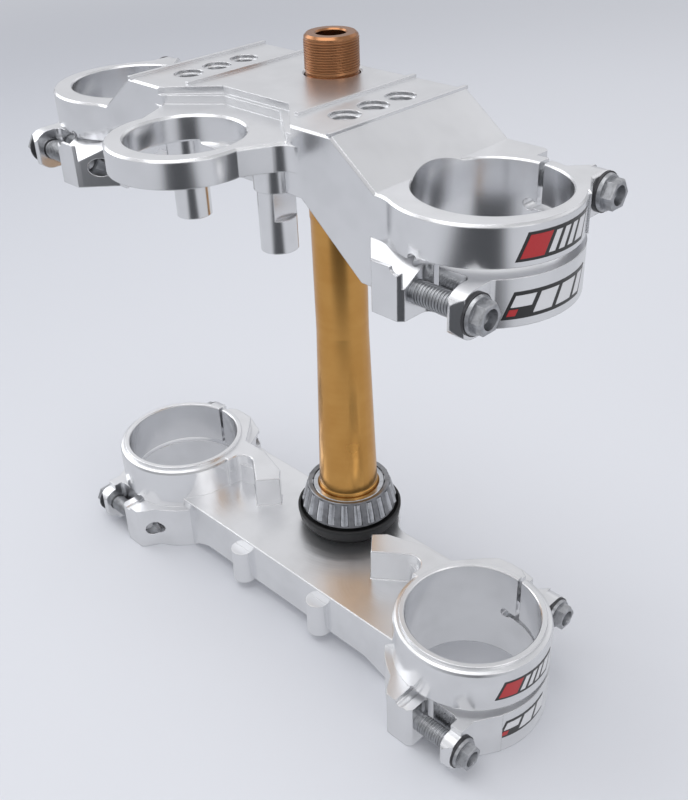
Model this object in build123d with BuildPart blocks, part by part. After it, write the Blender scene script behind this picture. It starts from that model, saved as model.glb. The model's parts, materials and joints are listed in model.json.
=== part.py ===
from build123d import *
import math
import os

# Triple clamp of a motorcycle with its steering stem and lower bearing, in millimetres.
# The origin is on the stem's axis, in the plane of the lower clamp's bottom faces.
# +Z runs up the stem, -Y is the front, and +X is towards one fork leg.

os.makedirs("parts", exist_ok=True)

# Fork legs: their spacing, their distance in front of the stem, and the tubes' clamping radii
FORK_SPACING = 204.5
FORK_OFFSET = 27.3
UPPER_BORE_R = 27.0
LOWER_BORE_R = 29.5

# Lower clamp: heights from its bottom face
LOWER_HEIGHT = 48.0
LOWER_SLOT_Z = 24.0
PLATE_UNDERSIDE = 7.0
PLATE_TOP = 29.5
SEAT_RISE = 4.0
SEAT_WALL = 5.0
PLATE_FRONT = 50.5
PLATE_REAR = 9.0
PLATE_REAR_FLARE = 2.0
PLATE_TAIL_MARGIN = 1.1
PLATE_TAIL_Y = -2.0
PLATE_TAIL_BLEND = 9.0
PLATE_FLAT_X = 58.0
PLATE_DROP_X = 76.0
COLLAR_WALL = 5.4
COLLAR_LIP_WALL = 2.8
COLLAR_LIP_RISE = 1.5
COLLAR_ROUND = 1.8
COLLAR_ROUND_MIDDLE = 0.3
COLLAR_LIP_BEVEL = 0.3
LOWER_BAND_WALL = 6.8
LOWER_BAND_LEAN = (-1.0, -2.2)

# Steering stops: plan corners of the slanted block on the plate, and of the shoulder behind it
STOP_TIP = (41.3, -27.5)
STOP_END = (33.0, -18.0)
STOP_BACK = (38.4, -12.6)
STOP_POCKET_CORNER = (65.8, -9.5)
STOP_POCKET_R = 6.5
STOP_POCKET_OPEN_Y = -25.5
SHOULDER_BACK = (
    (57.3, -6.8), (72.6, -6.9), (78.8, 0.1), (83.4, 5.4), (88.1, 9.7), (95.4, 10.8), (100.8, 10.5)
)
REAR_BOSS_TOP = 40.5
REAR_BOSS_STEP = 1.0
REAR_BOLT_DROP = 11.5

# Fender bosses on the lower clamp's front wall
FENDER_X = 27.7
FENDER_R = 5.8
FENDER_TOP = 23.5
FENDER_BOTTOM = 4.5
FENDER_THREAD_R = 2.5
FENDER_THREAD_DEPTH = 14.0

# Upper clamp: its bottom face above the lower clamp's, then heights from that face
UPPER_BOTTOM = 207.5
UPPER_HEIGHT = 34.7
UPPER_SLOT_RISE = 18.7
UNDERSIDE_RISE = 24.0
PAD_RISE = 49.5
FRONT_WALL = 58.5
REAR_WALL = 14.0
PLATFORM_X = 58.0
SLOPE_FOOT_X = 78.0
UNDERSIDE_X = 42.0
ARM_FOOT_X = 71.0
UPPER_BAND_WALL = 7.3
UPPER_BAND_LEAN = (-1.5, -2.0)
SPRUNG_BAND_WALL = 8.9
SPRUNG_BAND_LEAN = (-2.0, -3.0)
WALL_BLEND_R = 14.0
REAR_CORNER = (3.0, 2.2)
REAR_CORNER_CLEAR = 3.2
REAR_CORNER_WALL = 6.0

# Lock ring at the front of the upper clamp, its pocket in the plateau, and the two lock posts
RING_Y = 75.4
RING_BORE_R = 22.25
RING_WALL = 5.8
RING_LEAN = 1.8
RING_DROP = 6.2
RING_THICK = 10.4
WEB_HALF_WIDTH = 36.0
WEB_BLEND_R = 9.0
WEB_INSET = 0.6
POCKET_Y = 43.4
POCKET_HALF_WIDTH = 16.3
POCKET_STEP = 2.4
POCKET_STEP_DROP = 2.8
POST_X = 26.0
POST_Y = 56.4
POST_R = 7.2
POST_BOSS_R = 8.2
POST_LENGTH = 24.0
POST_FLAT = 4.6
POST_FLAT_LENGTH = 11.0
POST_THREAD_R = 3.4
POST_THREAD_DEPTH = 16.0

# Platforms for the handlebar mounts
MOUNT_X = 44.6
MOUNT_Y = 23.3
MOUNT_PITCH = 14.7
MOUNT_HOLE_R = 5.1
MOUNT_RECESS_R = 6.0
MOUNT_RECESS_DEPTH = 1.6
RIB_X = 30.5
RIB_WIDTH = 1.8
RIB_HEIGHT = 1.1
RIB_FRONT = 49.0
EDGE_CHAMFER = 0.8
BORE_CHAMFER = 0.6
STEP_CHAMFER = 0.5

# Pinch bolts: reach is the distance from the fork's axis to the bolt's axis
UPPER_FRONT_REACH = 36.5
UPPER_REAR_REACH = 34.5
LOWER_FRONT_REACH = 37.0
LOWER_REAR_REACH = 35.7
UPPER_FRONT_LUG_FACE = 23.3
UPPER_REAR_LUG_FACE = 21.9
LOWER_FRONT_LUG_FACE = 25.0
LOWER_REAR_LUG_FACE = 19.3
LUG_MARGIN = 7.6
LUG_THICK = 5.8
LUG_FLANK = (17.3, 7.7, 4.1)
LUG_ROOT_SPREAD = 7.0
LUG_TIP_BEVEL = (1.5, 1.0)
LUG_FACE_BEVEL = 1.2
LUG_BAND_ROOM = 8.0
NOTCH_CLEAR = 0.6
NOTCH_CORNER_R = 3.0
SPOT_MARGIN = 0.5
UPPER_FRONT_BOSS_FACE = -0.5
LOWER_FRONT_BOSS_FACE = 2.6
REAR_BOSS_FACE = -5.4
BOSS_LENGTH = 15.0
UPPER_BOSS_MARGIN = 8.0
LOWER_BOSS_MARGIN = 6.8
BOSS_CORNER = 1.8
BOSS_FLARE = 11.0
BOSS_SLOPE_RUN = 12.0
BOSS_SLOPE_DROP = 7.0
BOLT_R = 3.95
BOLT_LENGTH = 36.0
TAPPED_R = 4.0
CLEARANCE_HOLE_R = 4.35
FLANGE_R = 6.9
FLANGE_THICK = 1.3
HEX_ACROSS_FLATS = 10.0
HEX_HEIGHT = 3.9
HEX_CUP_R = 3.6
HEX_CUP_DEPTH = 3.0
FLANGE_TAPER = 18
HEX_CUP_TAPER = 12
HEX_BEVEL = 0.5
BOLT_TIP_BEVEL = 0.8
WASHER_R = 7.3
WASHER_HOLE_R = 4.15
WASHER_THICK = 1.0

# Slots that free the bands
SLOT_THICK = 2.6
SLOT_START = -3.3
RELIEF_R = 2.3
SLIT_WIDTH = 2.2
UPPER_FRONT_SLIT = 3.1
UPPER_REAR_SLIT = 0.8
LOWER_FRONT_SLIT = 4.6
LOWER_REAR_SLIT = 3.5

# Stem
STEM_SEAT_R = 15.0
STEM_SEAT_LENGTH = 54.0
STEM_BODY_R = 12.2
STEM_TAPER_TOP = 140.0
UPPER_SEAT_R = 12.5
UPPER_SEAT_LENGTH = 16.0
UPPER_SEAT_DROP = 20.0
THREAD_R = 10.9
THREAD_STAND = 15.3
THREAD_RELIEF = 1.2
THREAD_RELIEF_DEPTH = 0.6
STEM_BORE_R = 8.5
STEM_TOP_BORE_R = 6.0
STEM_TOP_BORE_LENGTH = 30.0
STEM_FLANGE_WALL = 3.0
STEM_FLANGE_THICK = 3.0
STEM_HOLE_R = 11.4
STEM_FIT = 0.02
STEM_STEP_BEVEL = 0.4
UPPER_SEAT_LEAD = 0.3
STEM_TOP_BEVEL = 1.0
STEM_MOUTH_BEVEL = 0.6
STEM_BORE_RUNOUT = 2.5

# Lower bearing
BEARING_HEIGHT = 17.0
SEAL_WEB = 2.0
RACE_RIB_WALL = 3.1
RACE_RIB_THICK = 1.0
RACE_RIB_BEVEL = 0.4
RACE_FOOT_BEVEL = 0.8
RACE_BORE_BEVEL = 0.6
RACE_GROOVE = 0.6
ROLLER_COUNT = 21
ROLLER_STAND = 5.4
ROLLER_BELOW_TOP = 6.3
ROLLER_TILT = 14.0
ROLLER_R = 2.45
ROLLER_LENGTH = 11.0
ROLLER_FIT = 0.03
ROLLER_RECESS_R = 0.9
ROLLER_RECESS_DEPTH = 0.3
CAGE_THICK = 0.9
CAGE_OFFSET = 1.0
CAGE_END = 0.9
CAGE_FIT = 0.15
CAGE_RACE_GAP = 0.35
CAGE_PLAY = 0.1
CAGE_BEVEL = 0.3
SEAL_WALL = 11.4
SEAL_LIP_DROP = 13.1
SEAL_LIP = 1.2
SEAL_FIT = 0.3
SEAL_FOOT = 2.4
SEAL_HEEL = 2.8
SEAL_EDGE = 0.6
SEAL_LIP_HEIGHT = 1.6
SEAL_LIP_BEVEL = 0.4
SEAL_LIP_ROOT = 1.0

# Places that follow from the driving sizes
FORK_X = FORK_SPACING / 2
FORK_Y = -FORK_OFFSET
UPPER_TOP = UPPER_BOTTOM + UPPER_HEIGHT
UPPER_SLOT_Z = UPPER_BOTTOM + UPPER_SLOT_RISE
UPPER_UNDERSIDE = UPPER_BOTTOM + UNDERSIDE_RISE
PAD_TOP = UPPER_BOTTOM + PAD_RISE
RING_TOP = PAD_TOP - RING_DROP
RING_BOTTOM = RING_TOP - RING_THICK
SHOULDER_TOP = LOWER_HEIGHT - COLLAR_LIP_RISE
SEAT_TOP = PLATE_TOP + SEAT_RISE
RACE_BOTTOM = SEAT_TOP + SEAL_WEB
RACE_TOP = RACE_BOTTOM + BEARING_HEIGHT
STEM_TOP = PAD_TOP + THREAD_STAND
STEM_FLANGE_R = STEM_SEAT_R + STEM_FLANGE_WALL
SEAT_R = STEM_SEAT_R + SEAT_WALL
RACE_RIB_R = STEM_SEAT_R + RACE_RIB_WALL
ROLLER_CIRCLE_R = STEM_SEAT_R + ROLLER_STAND
SEAL_R = STEM_SEAT_R + SEAL_WALL
PLATE_TAIL_R = SEAL_R + PLATE_TAIL_MARGIN


def lug_outline(reach, face, side, slanted):
    """Plan outline of a band's free lug, from the fork's axis; side is 1 at the rear and -1 in front."""
    inner = face - LUG_THICK
    tip = reach + LUG_MARGIN - LUG_TIP_BEVEL[1]
    if slanted:
        root, shoulder, point = (face - step for step in LUG_FLANK)
        flank = [(root, reach - LUG_MARGIN), (shoulder, tip - LUG_FLANK[2]), (point, tip)]
    else:
        flank = [(inner, reach - 2 * LUG_MARGIN), (inner, tip),
                 (inner + LUG_TIP_BEVEL[0], tip + LUG_TIP_BEVEL[1])]
    root_y = reach - 2.5 * LUG_MARGIN
    rest = [(face, tip - LUG_FACE_BEVEL), (face, reach - LUG_MARGIN), (face + LUG_ROOT_SPREAD, root_y),
            (inner, root_y)]
    return [(x, side * y) for x, y in flank + rest]


def front_boss_outline(front, wall, face):
    """Plan outline of the tapped boss in front of the wall, from the fork's axis."""
    inboard = face - BOSS_LENGTH
    return [
        (face, wall + BOSS_CORNER),
        (face, front + BOSS_CORNER),
        (face - BOSS_CORNER, front),
        (inboard + BOSS_CORNER, front),
        (inboard, front + BOSS_CORNER),
        (inboard - BOSS_FLARE, wall),
        (inboard - BOSS_FLARE, wall + BOSS_CORNER),
    ]


def level_rim(part, radius, level):
    """Circular edges of one radius that lie at one height."""
    return [e for e in part.edges().filter_by(GeomType.CIRCLE)
            if abs(e.radius - radius) < 0.01 and abs(e.center().Z - level) < 0.01]


def free_bands(bore_r, bottom, top, slot_z, front_slit, rear_slit):
    """Cuts the slot round a fork bore's outer side, the relief hole and the two slits."""
    with BuildSketch(Plane.XY.offset(slot_z - SLOT_THICK / 2)) as slot:
        with Locations((FORK_X + SLOT_START, FORK_Y)):
            Rectangle(2 * bore_r, 4 * bore_r, align=(Align.MIN, Align.CENTER))
    extrude(slot.sketch, amount=SLOT_THICK, mode=Mode.SUBTRACT)
    with BuildSketch(Plane.XZ.offset(-FORK_Y - 2 * bore_r)) as relief:
        with Locations((FORK_X + SLOT_START, slot_z)):
            Circle(RELIEF_R)
    extrude(relief.sketch, amount=4 * bore_r, mode=Mode.SUBTRACT)
    with BuildSketch(Plane.XY.offset(slot_z)) as slit_behind:
        with Locations((FORK_X + rear_slit, FORK_Y)):
            Rectangle(SLIT_WIDTH, 2 * bore_r, align=(Align.CENTER, Align.MIN))
    extrude(slit_behind.sketch, amount=top - slot_z + 1, mode=Mode.SUBTRACT)
    with BuildSketch(Plane.XY.offset(bottom - 1)) as slit_ahead:
        with Locations((FORK_X + front_slit, FORK_Y)):
            Rectangle(SLIT_WIDTH, 2 * bore_r, align=(Align.CENTER, Align.MAX))
    extrude(slit_ahead.sketch, amount=slot_z - bottom + 1, mode=Mode.SUBTRACT)


def pinch_holes(axis_y, z, face, boss):
    """Cuts the tapped hole in the boss and the clear hole through the lug for one pinch bolt."""
    inboard = FORK_X + boss - 2.2 * BOSS_LENGTH
    boss_face = FORK_X + boss
    with BuildSketch(Plane.YZ.offset(inboard)) as tapped:
        with Locations((axis_y, z)):
            Circle(TAPPED_R)
    extrude(tapped.sketch, amount=boss_face - inboard, mode=Mode.SUBTRACT)
    with BuildSketch(Plane.YZ.offset(boss_face)) as clear:
        with Locations((axis_y, z)):
            Circle(CLEARANCE_HOLE_R)
    extrude(clear.sketch, amount=face - boss + 1, mode=Mode.SUBTRACT)


def spot_face(axis_y, z, face):
    """Cuts the flat round seat that the washer lies on, back into the band beside it."""
    with BuildSketch(Plane.YZ.offset(FORK_X + face)) as seat:
        with Locations((axis_y, z)):
            Circle(WASHER_R + SPOT_MARGIN)
    extrude(seat.sketch, amount=WASHER_THICK + FLANGE_THICK + HEX_HEIGHT, mode=Mode.SUBTRACT)


def round_lug_corners(reach, side, z, half_height, face):
    """Rounds a lug's outer end about its bolt's axis; side is 1 at the rear and -1 in front."""
    start = FORK_X + face - LUG_THICK - SPOT_MARGIN
    with BuildSketch(Plane.YZ.offset(start)) as corners:
        with Locations((FORK_Y + side * (reach + LUG_MARGIN), z)):
            Rectangle(2 * LUG_MARGIN, 4 * half_height)
        with Locations((FORK_Y + side * reach, z)):
            Circle(half_height, mode=Mode.SUBTRACT)
    extrude(corners.sketch, amount=LUG_THICK + LUG_BAND_ROOM, mode=Mode.SUBTRACT)


def vertical_rim(part, low, high):
    """Edges between an upward face and an upright face whose middle lies between two heights."""
    tops = [f for f in part.faces() if f.normal_at().Z > 0.3]
    walls = [f for f in part.faces() if abs(f.normal_at().Z) < 0.01]
    wall_edges = [e for f in walls for e in f.edges()]
    return [e for f in tops for e in f.edges()
            if low < e.center().Z < high and e.center().X > 0.1 and any(e.is_same(w) for w in wall_edges)]


def notch(reach, bottom, height, face, boss):
    """Cuts the open pocket between the front boss and the front lug, where the bolt's shank shows."""
    width = face - LUG_THICK - boss
    with BuildSketch(Plane.XY.offset(bottom - 1)) as pocket:
        with Locations((FORK_X + boss, FORK_Y - reach + CLEARANCE_HOLE_R + NOTCH_CLEAR)):
            Rectangle(width, 3 * LUG_MARGIN, align=(Align.MIN, Align.MAX))
        fillet(pocket.vertices().group_by(Axis.Y)[-1], radius=NOTCH_CORNER_R)
    extrude(pocket.sketch, amount=height + 1, mode=Mode.SUBTRACT)


# Where each pinch bolt crosses: its distance from the fork's axis, its height, its lug's and its boss's faces
UPPER_REAR_Z = (UPPER_SLOT_Z + SLOT_THICK / 2 + UPPER_TOP) / 2
UPPER_FRONT_Z = (UPPER_BOTTOM + UPPER_SLOT_Z - SLOT_THICK / 2) / 2
LOWER_REAR_Z = SHOULDER_TOP - REAR_BOLT_DROP
LOWER_FRONT_Z = (LOWER_SLOT_Z - SLOT_THICK / 2) / 2
PINCHES = {
    "upper_front": (-UPPER_FRONT_REACH, UPPER_FRONT_Z, UPPER_FRONT_LUG_FACE, UPPER_FRONT_BOSS_FACE),
    "upper_rear": (UPPER_REAR_REACH, UPPER_REAR_Z, UPPER_REAR_LUG_FACE, REAR_BOSS_FACE),
    "lower_front": (-LOWER_FRONT_REACH, LOWER_FRONT_Z, LOWER_FRONT_LUG_FACE, LOWER_FRONT_BOSS_FACE),
    "lower_rear": (LOWER_REAR_REACH, LOWER_REAR_Z, LOWER_REAR_LUG_FACE, REAR_BOSS_FACE),
}

# Where the upper band's circle leaves the front wall
band_leaves_wall = FORK_X + UPPER_BAND_LEAN[0] - math.sqrt(
    (UPPER_BORE_R + UPPER_BAND_WALL) ** 2 - (FRONT_WALL + FORK_Y + UPPER_BAND_LEAN[1]) ** 2
)

# Upper clamp: half of it is built and mirrored, then the parts on the centre line are added
with BuildPart() as upper_clamp:
    with BuildSketch(Plane.XZ.offset(-REAR_WALL)):
        with BuildLine():
            Polyline(
                (0, UPPER_UNDERSIDE),
                (UNDERSIDE_X, UPPER_UNDERSIDE),
                (ARM_FOOT_X, UPPER_BOTTOM),
                (FORK_X, UPPER_BOTTOM),
                (FORK_X, UPPER_TOP),
                (SLOPE_FOOT_X, UPPER_TOP),
                (PLATFORM_X, PAD_TOP),
                (0, PAD_TOP),
                close=True,
            )
        make_face()
    extrude(amount=REAR_WALL + FRONT_WALL)
    # upper band, free at the rear, with its lug
    with BuildSketch(Plane.XY.offset(UPPER_SLOT_Z)) as upper_band:
        with Locations((FORK_X + UPPER_BAND_LEAN[0], FORK_Y + UPPER_BAND_LEAN[1])):
            Circle(UPPER_BORE_R + UPPER_BAND_WALL)
        with Locations((ARM_FOOT_X, -FRONT_WALL)):
            Rectangle(FORK_X - ARM_FOOT_X, FRONT_WALL, align=Align.MIN)
        fillet(upper_band.vertices().sort_by_distance((band_leaves_wall, -FRONT_WALL))[0], WALL_BLEND_R)
        with Locations((FORK_X, FORK_Y)):
            Polygon(*lug_outline(UPPER_REAR_REACH, UPPER_REAR_LUG_FACE, 1, True), align=None)
    extrude(amount=UPPER_TOP - UPPER_SLOT_Z)
    chamfer(vertical_rim(upper_clamp, UPPER_TOP - 1, PAD_TOP + 1), EDGE_CHAMFER)
    # lower band, free in front, with its lug and the tapped boss
    with BuildSketch(Plane.XY.offset(UPPER_BOTTOM)) as sprung_band:
        with Locations((FORK_X + SPRUNG_BAND_LEAN[0], FORK_Y + SPRUNG_BAND_LEAN[1])):
            Circle(UPPER_BORE_R + SPRUNG_BAND_WALL)
        with Locations((FORK_X, FORK_Y)):
            Polygon(*lug_outline(UPPER_FRONT_REACH, UPPER_FRONT_LUG_FACE, -1, False), align=None)
            Polygon(*front_boss_outline(-UPPER_FRONT_REACH - UPPER_BOSS_MARGIN, FORK_OFFSET - FRONT_WALL,
                                        UPPER_FRONT_BOSS_FACE), align=None)
    extrude(amount=UPPER_SLOT_RISE)
    # the boss's top runs down from the wall
    with BuildSketch(Plane.YZ.offset(FORK_X - 3 * BOSS_LENGTH)):
        with BuildLine():
            Polyline(
                (-FRONT_WALL, UPPER_SLOT_Z),
                (-FRONT_WALL - BOSS_SLOPE_RUN, UPPER_SLOT_Z - BOSS_SLOPE_DROP),
                (-FRONT_WALL - BOSS_SLOPE_RUN, UPPER_SLOT_Z),
                close=True,
            )
        make_face()
    extrude(amount=3 * BOSS_LENGTH + UPPER_FRONT_BOSS_FACE, mode=Mode.SUBTRACT)
    # rear corner of the boss that the rear bolt screws into
    corner_x = FORK_X + REAR_BOSS_FACE - REAR_CORNER[0]
    corner_y = FORK_Y + UPPER_BORE_R + REAR_CORNER_CLEAR
    with BuildSketch(Plane.XY.offset(UPPER_BOTTOM)):
        with BuildLine():
            Polyline(
                (corner_x, REAR_WALL),
                (FORK_X + REAR_BOSS_FACE, REAR_WALL - REAR_CORNER[1]),
                (FORK_X + REAR_BOSS_FACE, corner_y),
                (FORK_X + UPPER_BORE_R, corner_y),
                (FORK_X + UPPER_BORE_R, 2 * REAR_WALL),
                (corner_x, 2 * REAR_WALL),
                close=True,
            )
        make_face()
        with Locations((FORK_X, FORK_Y)):
            Polygon(*lug_outline(UPPER_REAR_REACH, UPPER_REAR_LUG_FACE, 1, True), align=None,
                    mode=Mode.SUBTRACT)
            Circle(UPPER_BORE_R + REAR_CORNER_WALL, mode=Mode.SUBTRACT)
    extrude(amount=UPPER_HEIGHT, mode=Mode.SUBTRACT)
    round_lug_corners(UPPER_REAR_REACH, 1, UPPER_REAR_Z, (UPPER_TOP - UPPER_SLOT_Z - SLOT_THICK / 2) / 2,
                      UPPER_REAR_LUG_FACE)
    round_lug_corners(UPPER_FRONT_REACH, -1, UPPER_FRONT_Z, (UPPER_SLOT_RISE - SLOT_THICK / 2) / 2,
                      UPPER_FRONT_LUG_FACE)
    notch(UPPER_FRONT_REACH, UPPER_BOTTOM, UPPER_SLOT_RISE, UPPER_FRONT_LUG_FACE, UPPER_FRONT_BOSS_FACE)
    with BuildSketch(Plane.XY.offset(UPPER_BOTTOM)):
        with Locations((FORK_X, FORK_Y)):
            Circle(UPPER_BORE_R)
    extrude(amount=PAD_TOP, mode=Mode.SUBTRACT)
    chamfer(level_rim(upper_clamp, UPPER_BORE_R, UPPER_TOP), BORE_CHAMFER)
    free_bands(UPPER_BORE_R, UPPER_BOTTOM, UPPER_TOP, UPPER_SLOT_Z, UPPER_FRONT_SLIT, UPPER_REAR_SLIT)
    for reach, height, face, boss in (PINCHES["upper_front"], PINCHES["upper_rear"]):
        pinch_holes(FORK_Y + reach, height, face, boss)
        spot_face(FORK_Y + reach, height, face)
    # ribs along the platform's inner edge and its outer edge
    with BuildSketch(Plane.XY.offset(PAD_TOP)):
        with Locations((RIB_X, -RIB_FRONT)):
            Rectangle(RIB_WIDTH, RIB_FRONT + REAR_WALL, align=Align.MIN)
        with Locations((PLATFORM_X - RIB_WIDTH, -FRONT_WALL)):
            Rectangle(RIB_WIDTH, FRONT_WALL + REAR_WALL, align=Align.MIN)
    extrude(amount=RIB_HEIGHT)
    # handlebar mount holes
    with BuildSketch(Plane.XY.offset(PAD_TOP)):
        with Locations((MOUNT_X, -MOUNT_Y)):
            with GridLocations(0, MOUNT_PITCH, 1, 3):
                Circle(MOUNT_RECESS_R)
    extrude(amount=-MOUNT_RECESS_DEPTH, mode=Mode.SUBTRACT)
    with BuildSketch(Plane.XY.offset(PAD_TOP)):
        with Locations((MOUNT_X, -MOUNT_Y)):
            with GridLocations(0, MOUNT_PITCH, 1, 3):
                Circle(MOUNT_HOLE_R)
    extrude(amount=-PAD_RISE, mode=Mode.SUBTRACT)
    # lock post with its boss
    with BuildSketch(Plane.XY.offset(UPPER_UNDERSIDE)):
        with Locations((POST_X, -POST_Y)):
            Circle(POST_BOSS_R)
    extrude(amount=RING_TOP - UPPER_UNDERSIDE)
    with BuildSketch(Plane.XY.offset(UPPER_UNDERSIDE)):
        with Locations((POST_X, -POST_Y)):
            Circle(POST_R)
    extrude(amount=-POST_LENGTH)
    with BuildSketch(Plane.XY.offset(UPPER_UNDERSIDE)):
        with Locations((POST_X + POST_FLAT, -POST_Y)):
            Rectangle(POST_R, 2 * POST_R, align=(Align.MIN, Align.CENTER))
    extrude(amount=-POST_FLAT_LENGTH, mode=Mode.SUBTRACT)
    with BuildSketch(Plane.XY.offset(UPPER_UNDERSIDE - POST_LENGTH)):
        with Locations((POST_X, -POST_Y)):
            Circle(POST_THREAD_R)
    extrude(amount=POST_THREAD_DEPTH, mode=Mode.SUBTRACT)
    mirror(about=Plane.YZ)
    # pocket in the plateau in front, down to the ring's level in two steps
    for inset, floor in ((POCKET_STEP, PAD_TOP - POCKET_STEP_DROP), (0.0, RING_TOP)):
        pocket_x = POCKET_HALF_WIDTH + inset
        pocket_y = -POCKET_Y + inset
        side_x = WEB_HALF_WIDTH + inset
        with BuildSketch(Plane.XY.offset(floor)):
            with BuildLine():
                Polyline(
                    (-pocket_x, pocket_y),
                    (pocket_x, pocket_y),
                    (side_x, -FRONT_WALL),
                    (side_x, -FRONT_WALL - 1),
                    (-side_x, -FRONT_WALL - 1),
                    (-side_x, -FRONT_WALL),
                    close=True,
                )
            make_face()
        extrude(amount=PAD_TOP - floor + RIB_HEIGHT, mode=Mode.SUBTRACT)
    # lock ring and its web
    web_end_x = RING_BORE_R + RING_WALL - WEB_INSET
    with BuildSketch(Plane.XY.offset(RING_BOTTOM)) as ring:
        with Locations((0, -RING_Y - RING_LEAN)):
            Circle(RING_BORE_R + RING_WALL)
        with BuildLine():
            Polyline(
                (-WEB_HALF_WIDTH, -FRONT_WALL + 1),
                (WEB_HALF_WIDTH, -FRONT_WALL + 1),
                (WEB_HALF_WIDTH, -FRONT_WALL),
                (web_end_x, -RING_Y),
                (-web_end_x, -RING_Y),
                (-WEB_HALF_WIDTH, -FRONT_WALL),
                close=True,
            )
        make_face()
    extrude(amount=RING_THICK)
    ring_rims = [e for e in upper_clamp.edges() if abs(e.center().Z - RING_TOP) < 0.01
                 and e.center().Y < -FRONT_WALL - 1]
    chamfer(ring_rims, EDGE_CHAMFER)
    with BuildSketch(Plane.XY.offset(RING_BOTTOM)) as blends:
        with BuildLine():
            Polyline(
                (-WEB_HALF_WIDTH - WEB_BLEND_R, -FRONT_WALL + 1),
                (WEB_HALF_WIDTH + WEB_BLEND_R, -FRONT_WALL + 1),
                (WEB_HALF_WIDTH + WEB_BLEND_R, -FRONT_WALL),
                (WEB_HALF_WIDTH, -FRONT_WALL),
                (web_end_x, -RING_Y),
                (-web_end_x, -RING_Y),
                (-WEB_HALF_WIDTH, -FRONT_WALL),
                (-WEB_HALF_WIDTH - WEB_BLEND_R, -FRONT_WALL),
                close=True,
            )
        make_face()
        for side_x in (-WEB_HALF_WIDTH, WEB_HALF_WIDTH):
            fillet(blends.vertices().sort_by_distance((side_x, -FRONT_WALL))[0], WEB_BLEND_R)
    extrude(amount=RING_THICK - EDGE_CHAMFER)
    with BuildSketch(Plane.XY.offset(RING_BOTTOM - 1)):
        with Locations((0, -RING_Y)):
            Circle(RING_BORE_R)
    extrude(amount=RING_THICK + 2, mode=Mode.SUBTRACT)
    # hole for the stem
    with BuildSketch(Plane.XY.offset(UPPER_BOTTOM)):
        Circle(STEM_HOLE_R)
    extrude(amount=PAD_RISE + 1, mode=Mode.SUBTRACT)
    lock_rims = [e for e in upper_clamp.edges().filter_by(GeomType.CIRCLE)
                 if abs(e.radius - RING_BORE_R) < 0.01]
    chamfer(lock_rims, EDGE_CHAMFER)
    hole_rims = [e for e in upper_clamp.edges().filter_by(GeomType.CIRCLE)
                 if abs(e.radius - STEM_HOLE_R) < 0.01 and e.center().Z > UPPER_TOP]
    chamfer(hole_rims, EDGE_CHAMFER)
upper_clamp.part.label = "upper_clamp"
export_step(upper_clamp.part, "parts/upper_clamp.step")

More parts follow.
